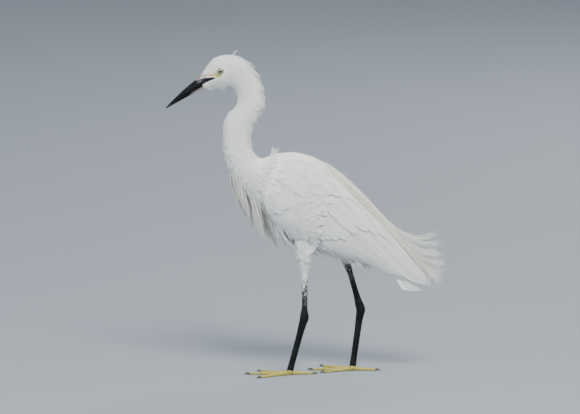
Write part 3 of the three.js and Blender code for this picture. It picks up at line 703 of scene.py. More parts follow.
def make_coat(name, roots, blades, finish):
    """One coat piece from its roots, a dict of arrays in millimetres, and its kinds of blade."""
    along = unit(roots["along"])
    side = unit(np.cross(along, roots["out"]))
    out = np.cross(side, along)
    none = np.zeros(len(along))
    points = bpy.data.meshes.new(name + "_roots")
    points.from_pydata(in_metres(roots["at"]), [], [])
    values = {
        "turn": euler(side, along, out),
        "out": out,
        "size": np.stack([roots["width"] * MM, roots["length"] * MM, none + 1], -1),
        "bend": roots.get("bend", none) * MM,
        "cup": roots.get("cup", none) * MM,
        "spot": np.column_stack([roots["spot"], none]),
        "shade": roots["shade"],
    }
    for key, value in values.items():
        put_values(points, key, value)
    kinds = points.attributes.new("kind", "INT", "POINT")
    kinds.data.foreach_set("value", roots["kind"].astype(int))
    carrier = put_in_scene(name + "_roots", points)
    shelf = bpy.data.collections.new(name + "_blades")
    bpy.context.scene.collection.children.link(shelf)
    for one in blades:
        shelf.objects.link(one)
    coat = carrier.modifiers.new("coat", "NODES")
    coat.node_group = bpy.data.node_groups.get("feather_coat") or coat_tree()
    inputs = coat.node_group.interface.items_tree
    for socket, value in (("Blades", shelf), ("Patch", PATCH), ("Finish", material_for(finish))):
        coat[inputs[socket].identifier] = value
    mesh = applied(carrier)
    mesh.name = name
    bpy.data.objects.remove(carrier)
    for one in blades:
        bpy.data.meshes.remove(one.data)
    bpy.data.collections.remove(shelf)
    for spare in ("turn", "out", "size", "bend", "cup", "spot", "kind"):
        if spare in mesh.attributes:
            mesh.attributes.remove(mesh.attributes[spare])
    add_piece(mesh)


# How far a feather may stand from its even place, as a share of the gap.
JITTER = 0.45


def scatter(skin, u_from, u_to, phi_from, phi_to, gap_along, gap_around, rng):
    """Staggered rows of places on a skin, about so far apart, as arrays of u and phi."""
    all_u, all_phi = [], []
    turn = np.linspace(phi_from, phi_to, 73)
    u = u_from
    while u < u_to:
        step = gap_along(u) if callable(gap_along) else gap_along
        gap = gap_around(u) if callable(gap_around) else gap_around
        length = np.linalg.norm(np.diff(skin.point(u, turn), axis=0), axis=1)
        walked = np.concatenate([[0], np.cumsum(length)])
        count = max(2, int(walked[-1] / gap))
        at = (np.arange(count) + 0.5 * rng.random() + rng.uniform(-JITTER, JITTER, count)) / count
        pace = np.linalg.norm(skin.slopes(u, 90.0)[0])
        all_u.append(u + rng.uniform(-JITTER, JITTER, count) * step / pace)
        all_phi.append(np.interp(at * walked[-1], walked, turn))
        u += step / pace
    all_u, all_phi = np.concatenate(all_u), np.concatenate(all_phi)
    near = (all_u > u_from - 0.08) & (all_u < u_to + 0.1)
    return all_u[near], all_phi[near]


def lying(skin, u, phi, sink, length, width, lift, rng, toss=0.12, droop=0.0):
    """Roots of feathers that lie back along a skin from u, phi."""
    along_u, around = skin.slopes(u, phi)
    out = skin.normal(u, phi)
    flow = unit(along_u) + unit(around) * rng.normal(0, toss, (len(u), 1))
    flow = flow + vec(0, 0, -1) * np.asarray(droop, float).reshape(-1, 1)
    flow = unit(flow - out * dot(flow, out))
    rise = np.radians(np.asarray(lift, float) * (1 + rng.normal(0, 0.15, len(u))))[:, None]
    along = flow * np.cos(rise) + out * np.sin(rise)
    return {
        "at": skin.point(u, phi) - out * np.asarray(sink, float).reshape(-1, 1),
        "along": along,
        "out": out,
        "length": length * (1 + rng.normal(0, 0.1, len(u))),
        "width": width * (1 + rng.normal(0, 0.1, len(u))),
        "spot": skin.spot(u, phi),
        "shade": np.clip(rng.normal(0.08, 0.06, len(u)), 0, 1),
        "kind": rng.integers(0, 3, len(u)),
    }


def loose(skin, count, u, phi, spread, sink, length, width, lift, toss, rng):
    """Roots of a few loose feathers at random places on a skin."""
    return lying(skin, rng.uniform(*u, count), phi + rng.uniform(-spread, spread, count), sink,
                 rng.uniform(*length, count), width, lift, rng, toss)


def chosen(roots, keep):
    return {key: value[keep] for key, value in roots.items()}


def together(*sets):
    return {key: np.concatenate([one[key] for one in sets]) for key in sets[0]}


# Skin and face

EYE = vec(-128.5, 10.8, 490)
EYE_RADIUS, IRIS_RADIUS, CORNEA_RISE = 6.2, 4.05, 0.35

# The oval of the lids: cosine and sine of its tilt, and how it is stretched along and across.
LID_COS, LID_SIN, LID_ALONG, LID_ACROSS = 0.94, 0.34, 0.92, 1.22

# How far the lids stand out, how deep the hollow for the eye goes, and how far the gape stands out.
LID_RISE, EYE_HOLLOW, GAPE_RISE = 3.0, 6.5, 0.35

# How far the flesh lies under the coat's outside, along u.
COAT_DEPTH = ([0, 1, 2.2, 4, 8, 12, 15, 21], [0.2, 0.9, 2.6, 4.0, 2.4, 3.2, 5.0, 4.0])

# Outlines on the side of the face, as x, z.
LORES = [
    (-161, 479), (-154, 483.6), (-143, 485.2), (-134.5, 487),
    (-133.5, 482), (-145, 480.2), (-154, 479.4), (-161, 476),
]
GAPE = [(-164, 474), (-154, 478.6), (-137.5, 480.2), (-137.8, 477.2), (-152, 470.8), (-163, 463.5)]
PATCH_BELOW_EYE = [(-137.5, 483.5), (-131, 485.5), (-125.5, 484), (-128.5, 480), (-137.5, 478.2)]


def coat_depth(u):
    return np.interp(u, *COAT_DEPTH)


def inside(outline, x, z, soft):
    """1 inside a closed outline, 0 outside, with a soft edge."""
    far = np.full(np.shape(x), 1e9)
    within = np.zeros(np.shape(x), bool)
    for (ax, az), (bx, bz) in zip(outline, outline[1:] + outline[:1]):
        run, rise = bx - ax, bz - az
        t = np.clip(((x - ax) * run + (z - az) * rise) / (run**2 + rise**2), 0, 1)
        far = np.minimum(far, np.hypot(x - ax - t * run, z - az - t * rise))
        crosses = (az > z) != (bz > z)
        within ^= crosses & (x < run * (z - az) / (rise + 1e-9) + ax)
    return smooth(-soft, soft, np.where(within, far, -far))


def face_masks(points):
    """How bare, black, yellow, mottled, speckled or pink the skin is at each point, and how far from
    the eye's middle it is, by an oval that tilts as the lids do."""
    x, y, z = points[:, 0], np.abs(points[:, 1]), points[:, 2]
    flank = smooth(2.0, 5.0, y)
    back, above = x - EYE[0], z - EYE[2]
    eye = np.hypot(
        (back * LID_COS + above * LID_SIN) * LID_ALONG,
        (above * LID_COS - back * LID_SIN) * LID_ACROSS,
    )
    around_lid = smooth(6.2, 5.6, eye)
    lid = smooth(5.3, 4.8, eye) * smooth(2.6, 3.2, eye)
    return {
        "bare": np.maximum(inside(LORES, x, z, 0.7), around_lid * 0.4) * flank,
        "black": np.maximum(inside(GAPE, x, z, 0.5), lid) * flank,
        "yellow": np.maximum(inside(PATCH_BELOW_EYE, x, z, 0.7), around_lid * 0.3) * flank,
        "mottled": smooth(-149, -155, x) * smooth(474, 477, z) * smooth(486, 483, z),
        "speckled": np.where(x < 40, smooth(172, 126, z), smooth(192, 166, z)) * (x < 105),
        "pink": smooth(-150, -155, x) * smooth(471, 466, z),
        "eye": eye,
    }


# Each leg's thigh as x, y, z, half width, half depth; where it is bare, its joints, and which way
# the hind toe turns.
LEGS = {
    "left": {
        "thigh": [(4, -19, 236, 13, 17), (4.5, -20, 205, 10, 12.5), (5.6, -21, 182, 7.5, 8),
                  (5.9, -21.6, 152, 5, 5.2), (6.3, -22, 126, 4.2, 4.4)],
        "bare_from": 131,
        "shank": (6.3, -22, 136),
        "ankle": (5.3, -25, 93),
        "foot": (-18, -21, 5),
        "hind": -6,
    },
    "right": {
        "thigh": [(54, 18, 232, 13, 17), (64, 19, 205, 10, 12), (72, 20, 180, 6.5, 7),
                  (78.5, 20, 160, 4.4, 4.8)],
        "bare_from": 166,
        "shank": (75.6, 20, 171),
        "ankle": (96, 20, 99),
        "foot": (83, 18, 5),
        "hind": 6,
    },
}


def limb(path, sides, samples, floor=None):
    """Rings round a smooth path of x, y, z, half width, half depth."""
    path = catmull_rom(path, samples)
    along = unit(np.gradient(path[:, :3], axis=0))
    side = unit(vec(0, 1, 0) - along * along[:, 1:2])
    front = np.cross(side, along)
    angle = np.linspace(0, 2 * math.pi, sides, endpoint=False)
    wide = (path[:, 3, None] * np.cos(angle))[..., None]
    deep = (path[:, 4, None] * np.sin(angle))[..., None]
    rings = path[:, None, :3] + side[:, None] * wide + front[:, None] * deep
    if floor is not None:
        rings[..., 2] = np.maximum(rings[..., 2], floor)
    return rings


def tube_mesh(name, tubes):
    """One mesh of closed tubes, each given by its rings."""
    parts = []
    for rings in tubes:
        points, faces = ring_tube(rings)
        parts.append((points, turned_out(points, faces)))
    return new_mesh(name, *joined(parts))


# The solids that the one skin stands for.
FLESH = ("head", "neck_upper", "neck_middle", "neck_lower", "breast", "torso", "thigh_left", "thigh_right")


def make_skin():
    """One skin from the bill to the tail and down the feathered thighs."""
    u = np.concatenate([np.linspace(0, 3.2, 110), np.linspace(3.25, 13, 120), np.linspace(13.1, 21, 70)])
    u, phi = u[:, None], np.linspace(-180, 180, 160, endpoint=False)[None, :]
    rings = body.point(u, phi, -coat_depth(u))
    x, y, z = np.moveaxis(rings, -1, 0)
    eye = face_masks(rings.reshape(-1, 3))["eye"].reshape(x.shape)
    lift = LID_RISE * smooth(8.0, 4.8, eye) - EYE_HOLLOW * smooth(4.3, 3.6, eye)
    lift = (lift + GAPE_RISE * inside(GAPE, x, z, 0.8)) * smooth(2.0, 5.0, np.abs(y))
    rings = rings + body.normal(u, phi) * lift[..., None]
    skin = put_in_scene("skin", tube_mesh("skin", [rings]))
    for leg in LEGS.values():
        path = np.array(leg["thigh"], float)
        under = smooth(leg["bare_from"] + 18, leg["bare_from"] + 42, path[:, 2:3])
        path[:, 3:] = np.maximum(path[:, 3:] - 2.0 * under, 3.0)
        thigh = put_in_scene("thigh", tube_mesh("thigh", [limb(path, 24, 50)]))
        union = skin.modifiers.new("union", "BOOLEAN")
        union.operation = "UNION"
        union.solver = "MANIFOLD"
        union.object = thigh
        skin.data = applied(skin)
        bpy.data.objects.remove(thigh)
    mesh = skin.data
    bpy.data.objects.remove(skin)
    places = np.empty(len(mesh.vertices) * 3)
    mesh.vertices.foreach_get("co", places)
    masks = face_masks(places.reshape(-1, 3) / MM - SHIFT)
    del masks["eye"]
    for key, values in masks.items():
        put_values(mesh, key, values)
    mesh.name = "egret_skin"
    add_piece(mesh, FLESH, "skin")


def make_eyes():
    """Each eye: a ball with its cornea raised over iris and pupil."""
    polar = np.radians(np.concatenate([np.linspace(0.5, 50, 30), np.linspace(54, 179.5, 24)]))
    turn = np.linspace(0, 2 * math.pi, 48, endpoint=False)
    swell = EYE_RADIUS + CORNEA_RISE * np.cos(np.clip(polar * 1.9, 0, math.pi / 2))
    off_axis, out = (swell * np.sin(polar))[:, None], (swell * np.cos(polar))[:, None]
    share = np.sin(np.minimum(polar, math.pi / 2)) * EYE_RADIUS / IRIS_RADIUS
    for name, side in (("eye_right", 1), ("eye_left", -1)):
        rings = np.stack([off_axis * np.cos(turn), out + 0 * turn, off_axis * np.sin(turn)], -1) + EYE
        rings[..., 1] *= side
        mesh = tube_mesh(name + "_ball", [rings])
        put_values(mesh, "ring", np.repeat(share, len(turn)))
        put_values(mesh, "turn", np.tile(turn, len(polar)))
        add_piece(mesh, [name], "eye")


# Bill

BILL_ROOT, BILL_TIP = vec(-151, 0, 473), vec(-216, 0, 430)
BILL_ALONG = unit(BILL_TIP - BILL_ROOT)
BILL_UP = vec(BILL_ALONG[2], 0, -BILL_ALONG[0])
BILL_LENGTH = float(np.linalg.norm(BILL_TIP - BILL_ROOT))

# Half width at root and tip, how far the tip bends down, and half the gap where the halves meet.
BILL_WIDTH, BILL_BEND, BILL_PARTING = (6.4, 0.7), 1.3, 0.16

# Each half of the bill: its solid, its height at root and tip, how it tapers, and if it is the lower.
BILL_HALVES = {
    "bill_upper_horn": ("bill_upper", 10, 0.8, 1.6, False),
    "bill_lower_horn": ("bill_lower", 7.4, 0.7, 1.1, True),
}


def bill_half(name, node, high, high_tip, taper, lower):
    """One mandible: a keel, a groove and a nostril along the upper one's side, and a flat where the
    two meet."""
    t = np.linspace(-0.06, 1, 90)
    angle = np.linspace(0, math.pi, 33)
    shares = np.clip(t, 0, 1)
    wide = mix(*BILL_WIDTH, shares**0.85)[:, None]
    tall = mix(high, high_tip, shares**taper)[:, None]
    up, out = np.sin(angle), np.cos(angle)
    keel = 1 + 0.10 * np.exp(-((angle - math.pi / 2) / 0.22) ** 2)
    sunk = 0.0
    if not lower:
        groove = np.exp(-((np.abs(out) - 0.80) / 0.13) ** 2) * smooth(0.62, 0.30, t)[:, None] * 0.9
        slit = np.exp(-((np.abs(out) - 0.84) / 0.05) ** 2)
        sunk = groove + 1.4 * slit * (smooth(0.17, 0.2, t) * smooth(0.34, 0.3, t))[:, None]
    width = wide * out * (1 - sunk / wide)
    height = (BILL_PARTING + tall * (up * keel)) * (-1 if lower else 1)
    bend = (-BILL_BEND * shares**3)[:, None]
    middle = BILL_ROOT + BILL_ALONG * (BILL_LENGTH * t)[:, None] + BILL_UP * bend
    rings = middle[:, None] + BILL_UP * height[..., None]
    mesh = tube_mesh(name, [rings + vec(0, 1, 0) * width[..., None]])
    pink = smooth(0.50, 0.28, t)[:, None] * smooth(0.5, 0.75, up) * lower
    dusty = smooth(0.22, 0.06, t)[:, None] * smooth(0.1, 0.5, up) * (not lower)
    put_values(mesh, "pink", pink.ravel())
    put_values(mesh, "dusty", dusty.ravel())
    add_piece(mesh, [node], "bill")


# Legs and feet

# Share of the way down, half width and half depth of the bare shank and of the tarsus below it.
SHANK = [(0, 3.5, 4.4), (0.62, 3.6, 4.7), (0.86, 5.0, 6.5)]
TARSUS = [(0, 5.5, 7.2), (0.12, 4.7, 6.1), (0.3, 4.0, 5.2), (0.75, 3.9, 4.9), (0.94, 4.7, 5.2), (1, 4.8, 5.2)]

# Above the foot's middle, half width and half depth of the ankle's foot end.
FOOT_BALL = [(3.3, 4.6, 5.0), (0, 6.2, 6.0), (-4.0, 5.2, 5.2)]

# Each toe's length and the angle that it spreads from straight ahead.
TOES = {"middle": (64, 0), "inner": (51, -27), "outer": (55, 33), "hind": (37, 180)}
CLAW_LENGTH = 9.5

# Share of the length, rise, half width and half depth of a claw.
CLAW = [(0, 1.7, 1.55, 1.8), (0.35, 2.5, 1.3, 1.55), (0.7, 2.1, 0.85, 1.05), (1, 0.55, 0.18, 0.25)]


def leg_path(leg):
    shank, ankle, foot = (vec(*leg[k]) for k in ("shank", "ankle", "foot"))
    return [
        (*mix(start, end, t), wide, deep)
        for start, end, part in ((shank, ankle, SHANK), (ankle, foot, TARSUS))
        for t, wide, deep in part
    ]


def plates(at, along, out, length, width, seed):
    """Roots of scale plates along a leg or toe."""
    count = len(at)
    return {
        "at": at,
        "along": np.broadcast_to(along, at.shape),
        "out": np.broadcast_to(out, at.shape),
        "length": np.full(count, length),
        "width": np.full(count, width),
        "spot": np.stack([np.full(count, 0.5), np.linspace(0.02, 0.95, count)], -1),
        "bend": np.full(count, 0.15),
        "cup": np.full(count, width * 0.28),
        "shade": np.random.default_rng(seed).random(count) * 0.1,
        "kind": np.zeros(count),
    }


def make_legs():
    """The bare black legs, each with its ankle and the row of plates down its front."""
    shares, _, depths = zip(*TARSUS)
    ahead = vec(-1, 0, 0)
    for side, leg in LEGS.items():
        rings = limb(leg_path(leg), 28, 120)
        mesh = tube_mesh(f"leg_{side}", [rings])
        z = rings[..., 2].ravel()
        put_values(mesh, "fleck", smooth(leg["bare_from"] - 26, leg["bare_from"] + 2, z))
        add_piece(mesh, [f"shank_{side}", f"tarsus_{side}"], "leg")
        ankle, foot = vec(*leg["ankle"]), vec(*leg["foot"])
        down = unit(foot - ankle)
        front = unit(ahead - down * dot(ahead, down))
        t = np.linspace(0.10, 0.93, 27)
        at = mix(ankle, foot, t[:, None]) + front * (np.interp(t, shares, depths) - 0.25)[:, None]
        roots = plates(at, down, front, 3.6, 5.2, 1)
        make_coat(f"leg_plates_{side}", roots, plate_blades(0.5), "leg")


def toe_profile():
    """Share of the length, half width and half depth along a toe, swollen at its two joints."""
    profile = [(0, 3.1, 3.6), (0.15, 3.0, 3.4)]
    for joint in (0.36, 0.7):
        share = mix(1, 0.68, joint)
        profile += [(joint, 3.5 * share, 3.3 * share), (joint + 0.12, 2.7 * share, 2.65 * share)]
    return profile + [(1, 1.9, 2.1)]


def make_feet():
    """Yellow toes lying on the ground, their joints, plates and claws."""
    up = vec(0, 0, 1)
    profile = toe_profile()
    shares, _, depths = zip(*profile)
    for side, leg in LEGS.items():
        sign = -1 if side == "left" else 1
        foot = vec(*leg["foot"])
        flat = foot * vec(1, 1, 0)
        ball = [(*(foot + up * rise), wide, deep) for rise, wide, deep in FOOT_BALL]
        tubes, claws, at, along = [limb(ball, 24, 16, 0.0)], [], [], []
        for length, turn in TOES.values():
            angle = math.radians(180 + leg["hind"] * sign if turn == 180 else turn)
            go = vec(-math.cos(angle), sign * math.sin(angle), 0)
            toe = [(*(flat + go * length * t + up * (deep * 0.8)), wide, deep) for t, wide, deep in profile]
            tubes.append(limb(toe, 18, 60, 0.0))
            claw = [(*(flat + go * (length - 0.6 + CLAW_LENGTH * t) + up * rise), wide, deep)
                    for t, rise, wide, deep in CLAW]
            claws.append(limb(claw, 14, 24, 0.02))
            steps = np.arange(0.16, 0.98, 3.2 / length)
            above = np.interp(steps, shares, depths) * 1.8 - 0.3
            at.append(flat + go * (length * steps)[:, None] + up * above[:, None])
            along.append(np.broadcast_to(go, (len(steps), 3)))
        mesh = tube_mesh(f"toes_{side}", tubes)
        places = np.concatenate([tube.reshape(-1, 3) for tube in tubes])
        put_values(mesh, "dusky", smooth(6.5, 9.0, places[:, 2]))
        add_piece(mesh, [f"foot_{side}"], "toes")
        add_piece(tube_mesh(f"claws_{side}", claws), [f"claw_{name}_{side}" for name in TOES], "claw")
        roots = plates(np.concatenate(at), np.concatenate(along), up, 3.4, 3.9, 2)
        make_coat(f"toe_plates_{side}", roots, plate_blades(0.45), "toes")


# Plumage

# Loose feathers of crown, nape and chin: count, u, phi and its spread, sunk by, length, width, lift
# and toss.
LOOSE_ON_HEAD = {
    "crown": (9, (3.3, 3.45), 0, 7, 2.0, (8, 11), 1.0, 66.0, 0.12),
    "nape": (30, (4.1, 5.6), 0, 25, 1.5, (9, 14), 1.6, 17.0, 0.3),
    "chin": (60, (0.3, 2.2), 180, 40, 0.8, (5, 9), 1.5, 28.0, 0.35),
}


def make_head_coat():
    """Short velvety feathers of the head, smallest round the bill and eyes, and its loose ones."""
    rng = np.random.default_rng(SEED)
    u, phi = scatter(body, 0.15, 5.6, -180, 180, lambda u: mix(1.3, 2.3, u / 5.6),
                     lambda u: mix(0.95, 1.5, u / 5.6), rng)
    grow = smooth(0, 3.5, u)
    roots = lying(body, u, phi, coat_depth(u) + 0.1, mix(2.6, 8.0, grow), mix(1.0, 1.9, grow), 9.0, rng)
    masks = face_masks(roots["at"])
    bare = np.maximum.reduce([masks["bare"], masks["black"], masks["yellow"], masks["pink"] * 0.5])
    clear = (bare < 0.3) & (masks["eye"] > 6.4)
    extra = [loose(body, *facts, rng) for facts in LOOSE_ON_HEAD.values()]
    make_coat("head_feathers", together(chosen(roots, clear), *extra), hair_blades(0.3), "down")


# Where small tufts stick out of the nape and neck, as u and phi.
NECK_TUFTS = vec((5.7, 9), (6.8, -12), (7.3, 5), (8.8, 7), (9.7, -9))


def make_neck_coat():
    """Close narrow feathers down the neck, with ragged tufts at its back."""
    rng = np.random.default_rng(SEED + 1)
    u, phi = scatter(body, 5.3, 13.6, -180, 180, 3.1, lambda u: mix(1.6, 2.4, (u - 5.3) / 8), rng)
    grow = smooth(5, 13, u)
    roots = lying(body, u, phi, coat_depth(u), mix(9.5, 15, grow), mix(2.1, 3.6, grow), 10.0, rng, 0.1)
    count = 90
    u = np.concatenate([rng.uniform(*part, count) for part in ((5.6, 7.6), (8.6, 10.4), (6, 12))])
    turn = np.concatenate([rng.normal(0, 16, count * 2), rng.normal(0, 45, count)])
    count = 60
    near = NECK_TUFTS[rng.integers(0, len(NECK_TUFTS), count)]
    spikes = lying(body, near[:, 0] + rng.normal(0, 0.06, count), near[:, 1] + rng.normal(0, 6, count), 2.0,
                   rng.uniform(9, 14, count), 1.3, 19.0, rng, 0.12)
    tufts = lying(body, u, turn, 2.0, rng.uniform(10, 15, len(u)), rng.uniform(1.4, 2.2, len(u)), 12.0,
                  rng, 0.3)
    make_coat("neck_feathers", together(roots, tufts, spikes), hair_blades(), "down")


def below_wing(points):
    """How deep each point lies below the folded wings' surface, 0 or less outside."""
    u, phi = (g.ravel() for g in np.meshgrid(np.linspace(-0.2, 8, 90), np.linspace(-150, 150, 72)))
    on = wings.point(u, phi)
    out = wings.normal(u, phi)
    flow = unit(wings.slopes(u, phi)[0])
    nearest = np.array([np.argmin(((on - p) ** 2).sum(1)) for p in points])
    gap = points - on[nearest]
    beside = np.abs(dot(gap, flow[nearest])[:, 0]) < 4.0
    return np.where(beside, -dot(gap, out[nearest])[:, 0], -9.0)


def make_body_coat():
    """Rounded body feathers that overlap like tiles; looser and longer under the belly."""
    rng = np.random.default_rng(SEED + 2)
    u, phi = scatter(body, 12.6, 20.9, -180, 180, 4.6, 4.2, rng)
    round_by = np.abs(phi)
    low = smooth(100, 170, round_by) * smooth(15.5, 17, u)
    roots = lying(body, u, phi, coat_depth(u) - 0.3, mix(19.0, 26.0, low), mix(10.5, 8.0, low),
                  mix(8.0, 14.0, low), rng, 0.12)
    beside = smooth(13.4, 15.0, u) * smooth(30, 42, round_by) * smooth(132, 120, round_by)
    roots["length"] = roots["length"] * mix(1, 0.62, beside)
    roots["bend"] = mix(1.6, 1.2, beside)
    roots["along"] = unit(roots["along"] - roots["out"] * (0.09 * beside)[:, None])
    hidden = (round_by > 45) & (round_by < 118) & (u > 15.2) & (u < 19.5)
    hidden |= below_wing(roots["at"]) > np.where(round_by < 75, 0.5, 3.0)
    # Loose feathers of flank and belly.
    count = 420
    u = rng.uniform(15.7, 19.9, count)
    turn = rng.uniform(112, 178, count)
    rise = rng.uniform(4, 8, count) + 18 * smooth(130, 150, turn) * rng.random(count)
    flank = lying(body, u, rng.choice([-1, 1], count) * turn, 2.5,
                  mix(16, 26, smooth(125, 150, turn)) * rng.uniform(0.8, 1.4, count),
                  rng.uniform(5.5, 8.5, count), rise, rng, 0.25, 0.3)
    flank["bend"] = np.full(count, -1.0)
    # A small tuft between the shoulders.
    count = 16
    tuft = lying(body, rng.choice([13.65, 13.9], count) + rng.normal(0, 0.05, count),
                 rng.normal(0, 8, count), 2.0, rng.uniform(10, 16, count), 1.8, 34.0, rng, 0.15)
    tuft["bend"] = np.zeros(count)
    make_coat("body_feathers", together(chosen(roots, ~hidden), flank, tuft), body_blades(), "white")


def make_thigh_coat():
    """Narrow feathers down each thigh, thinning out over the bare black shank, and longer ones over
    its top."""
    rng = np.random.default_rng(SEED + 3)
    sets = []
    for leg in LEGS.values():
        path = catmull_rom(leg["thigh"], 200)
        last = len(path) - 1
        t = rng.random(2200) ** 0.8
        z = path[(t * last).astype(int), 2]
        t = t[rng.random(len(t)) < smooth(leg["bare_from"] + 4, leg["bare_from"] + 38, z)]
        count = len(t)
        row = path[(t * last).astype(int)]
        go = unit(np.gradient(path[:, :3], axis=0))[(t * last).astype(int)]
        angle = rng.uniform(0, 2 * math.pi, count)
        side = unit(vec(0, 1, 0) - go * go[:, 1:2])
        out = side * np.cos(angle)[:, None] + np.cross(side, go) * np.sin(angle)[:, None]
        flare = smooth(160, 200, row[:, 2:3]) * smooth(236, 222, row[:, 2:3]) * 1.5
        at = row[:, :3] + out * (np.maximum(row[:, 3:4] - 2.2, 2.6) + flare * np.abs(np.sin(angle))[:, None])
        rise = np.radians(rng.normal(11, 3, count))[:, None]
        sets.append({
            "at": at,
            "along": go * np.cos(rise) + out * np.sin(rise),
            "out": out,
            "length": mix(19.0, 6.0, smooth(0, 0.75, t)) * rng.uniform(0.85, 1.15, count),
            "width": mix(4.2, 1.4, smooth(0, 0.75, t)),
            "shade": np.full(count, 0.05),
            "kind": rng.integers(0, 3, count),
            "spot": np.stack([0.05 + 0.9 * angle / 7, 0.05 + 0.9 * t], -1),
        })
        count = 90
        sign = np.sign(leg["foot"][1])
        top = vec(*leg["thigh"][0][:3])
        off = np.stack([rng.uniform(low, high, count) for low, high in ((-9, 24), (4, 11), (-20, -6))], -1)
        at = top + vec(1, sign, 1) * off
        length = rng.uniform(24, 38, count)
        aim = top + vec(3, 0, -46) - at + vec(0, sign, 0) * 8
        sets.append({
            "at": at,
            "along": unit(aim + rng.normal(0, 3, (count, 3))),
            "out": np.repeat(vec(-0.1, sign, 0.1)[None], count, 0),
            "length": length,
            "width": rng.uniform(5, 7.5, count),
            "shade": np.full(count, 0.05),
            "kind": rng.integers(0, 3, count),
            "spot": rng.uniform(0.1, 0.9, (count, 2)),
        })
    make_coat("thigh_feathers", together(*sets), hair_blades(), "down")


def strands(paths, widths, facing, thick, shape=None):
    """Long tapered strands of three sides, each along its own path. Returns points, faces, share
    along and across."""
    n, rows = paths.shape[:2]
    t = np.linspace(0, 1, rows)
    along = unit(np.gradient(paths, axis=1))
    side = unit(np.cross(along, facing[:, None]))
    out = np.cross(side, along)
    profile = shape(t) if shape else np.minimum(1, 0.45 + t * 2.2) * np.maximum(1 - t**2.2, 0.03)
    half = (widths[:, None] / 2 * profile)[..., None]
    high = thick * np.maximum(1 - t, 0.25)[None, :, None]
    rings = np.stack([paths - side * half, paths + out * high, paths + side * half], 2)
    points = rings.reshape(-1, 3)
    one = grid_faces(rows, 3, around=True).tolist() + [[0, 1, 2], [3 * rows - 1, 3 * rows - 2, 3 * rows - 3]]
    one = turned_out(rings[0].reshape(-1, 3), one)
    faces = [[k + i * rows * 3 for k in f] for i in range(n) for f in one]
    across = np.tile([0.0, 0.5, 1.0], n * rows)
    return points, faces, np.stack([across, np.tile(np.repeat(t, 3), n)], -1)


def strand_mesh(name, paths, widths, facing, thick, spots, shade, shape=None):
    points, faces, vane = strands(paths, widths, facing, thick, shape)
    mesh = new_mesh(name, points, faces, 70)
    per = paths.shape[1] * 3
    put_uv(mesh, "Vane", vane)
    put_uv(mesh, "OFBake", np.repeat(spots, per, 0) + (vane - 0.5) * PATCH)
    put_values(mesh, "shade", np.repeat(shade, per))
    return mesh


# The stretch of the neck's foot that the breast plumes leave, as u.
BREAST = (12.1, 15.0)


def make_breast_plumes():
    """Long narrow plumes that leave the lower neck and breast and hang back under it, in bunches."""
    rng = np.random.default_rng(SEED + 4)
    count = sizes().breast_plumes
    bunches = 17
    bunch = rng.integers(0, bunches, count)
    f = np.clip((bunch + rng.normal(0.5, 0.5, count)) / bunches, 0, 1)
    centre = (bunch + 0.5) / bunches
    u = mix(*BREAST, f)
    middle = 180 + np.where(bunch % 3 == 0, 0.0, np.where(bunch % 2, 26.0, -26.0))
    phi = middle + rng.normal(0, 13, count)
    out = body.normal(u, phi)
    root = body.point(u, phi) - out * 2.5
    reach = mix(44, 66, centre) * mix(0.82, 1.16, np.modf(bunch * 0.618)[0])
    along = unit(mix(vec(0.27, 0, -0.96), vec(0.44, 0, -0.90), centre[:, None]))
    leave = (mix(*BREAST, centre), middle)
    tip = body.point(*leave) + body.normal(*leave) * 3.0 + along * reach[:, None]
    kept = rng.uniform(0.55, 1.06, count)[:, None]
    spread = rng.normal(0, 1.6, (count, 3)) * vec(1, 1, 0.6)
    keys = [root]
    for share, lift in ((0.25, 3.4), (0.55, 4.0), (0.8, 2.5), (1.0, 0.0)):
        reached = share * kept
        pull = reached**0.8
        drawn = mix(root + along * (reach[:, None] * reached), tip, pull)
        keys.append(drawn + out * lift * (1 - pull) + spread * (1.3 - share))
    paths = np.stack([catmull_rom([k[i] for k in keys], 12) for i in range(count)])
    width = rng.uniform(1.2, 2.6, count)
    shade = rng.uniform(0.0, 0.4, count)
    mesh = strand_mesh("breast_plumes", paths, width, out, 0.4, body.spot(u, phi), shade)
    add_piece(mesh, (), "plume")


def make_barbs(paths, facing, spots, shade, rng):
    """Hair-like barbs that leave each shaft on both sides and trail along it."""
    per = sizes().plume_barbs
    last = paths.shape[1] - 1
    sign = np.where(np.arange(per) % 2, 1, -1)[:, None]
    along = unit(np.gradient(paths, axis=1))
    barbs = []
    for path, headings, out in zip(paths, along, facing):
        at = np.sort(0.12 + 0.865 * rng.random(per) ** 1.2)
        k = np.minimum((at * last).astype(int), last - 1)
        root = mix(path[k], path[k + 1], (at * last - k)[:, None])
        go = headings[k]
        side = unit(np.cross(go, out)) * sign
        up = np.cross(go, side) * sign
        reach = (mix(22, 12, at) * rng.uniform(0.6, 1.3, per))[:, None]
        free = smooth(0.55, 0.9, at)
        spread = (mix(0.12, 0.50, free) * rng.uniform(0.5, 1.3, per))[:, None]
        sway = (rng.normal(0.0, 0.14, per) * (0.3 + free))[:, None]
        heading = unit(go + side * spread + up * sway)
        end = root + heading * reach + up * (2.0 * free * rng.random(per))[:, None]
        mid = root + heading * (reach * 0.5) + side * (reach * 0.05)
        barbs.append(np.stack([root, mix(root, mid, 0.55), mid, mix(mid, end, 0.55), end], 1))
    barbs = np.concatenate(barbs)
    width = np.full(len(barbs), sizes().barb_width / MM)
    facing, spots, shade = (np.repeat(each, per, 0) for each in (facing, spots, shade))
    mesh = strand_mesh("back_plume_barbs", barbs, width, facing, 0.22, spots, shade,
                       lambda t: np.maximum(1 - t**1.5, 0.15))
    add_piece(mesh, (), "plume")


# Along each back plume: share of its way over the wings, share of its final angle, and lift.
PLUME_LIE = ((0, 0.6, -4), (0.25, 0.7, -0.3), (0.6, 0.85, -0.1), (1, 1, 0.4))

# X and Z of the plumes' tips, from the topmost by the middle one to the lowest.
PLUME_TIPS = ((208, 221, 213), (226, 180, 147))


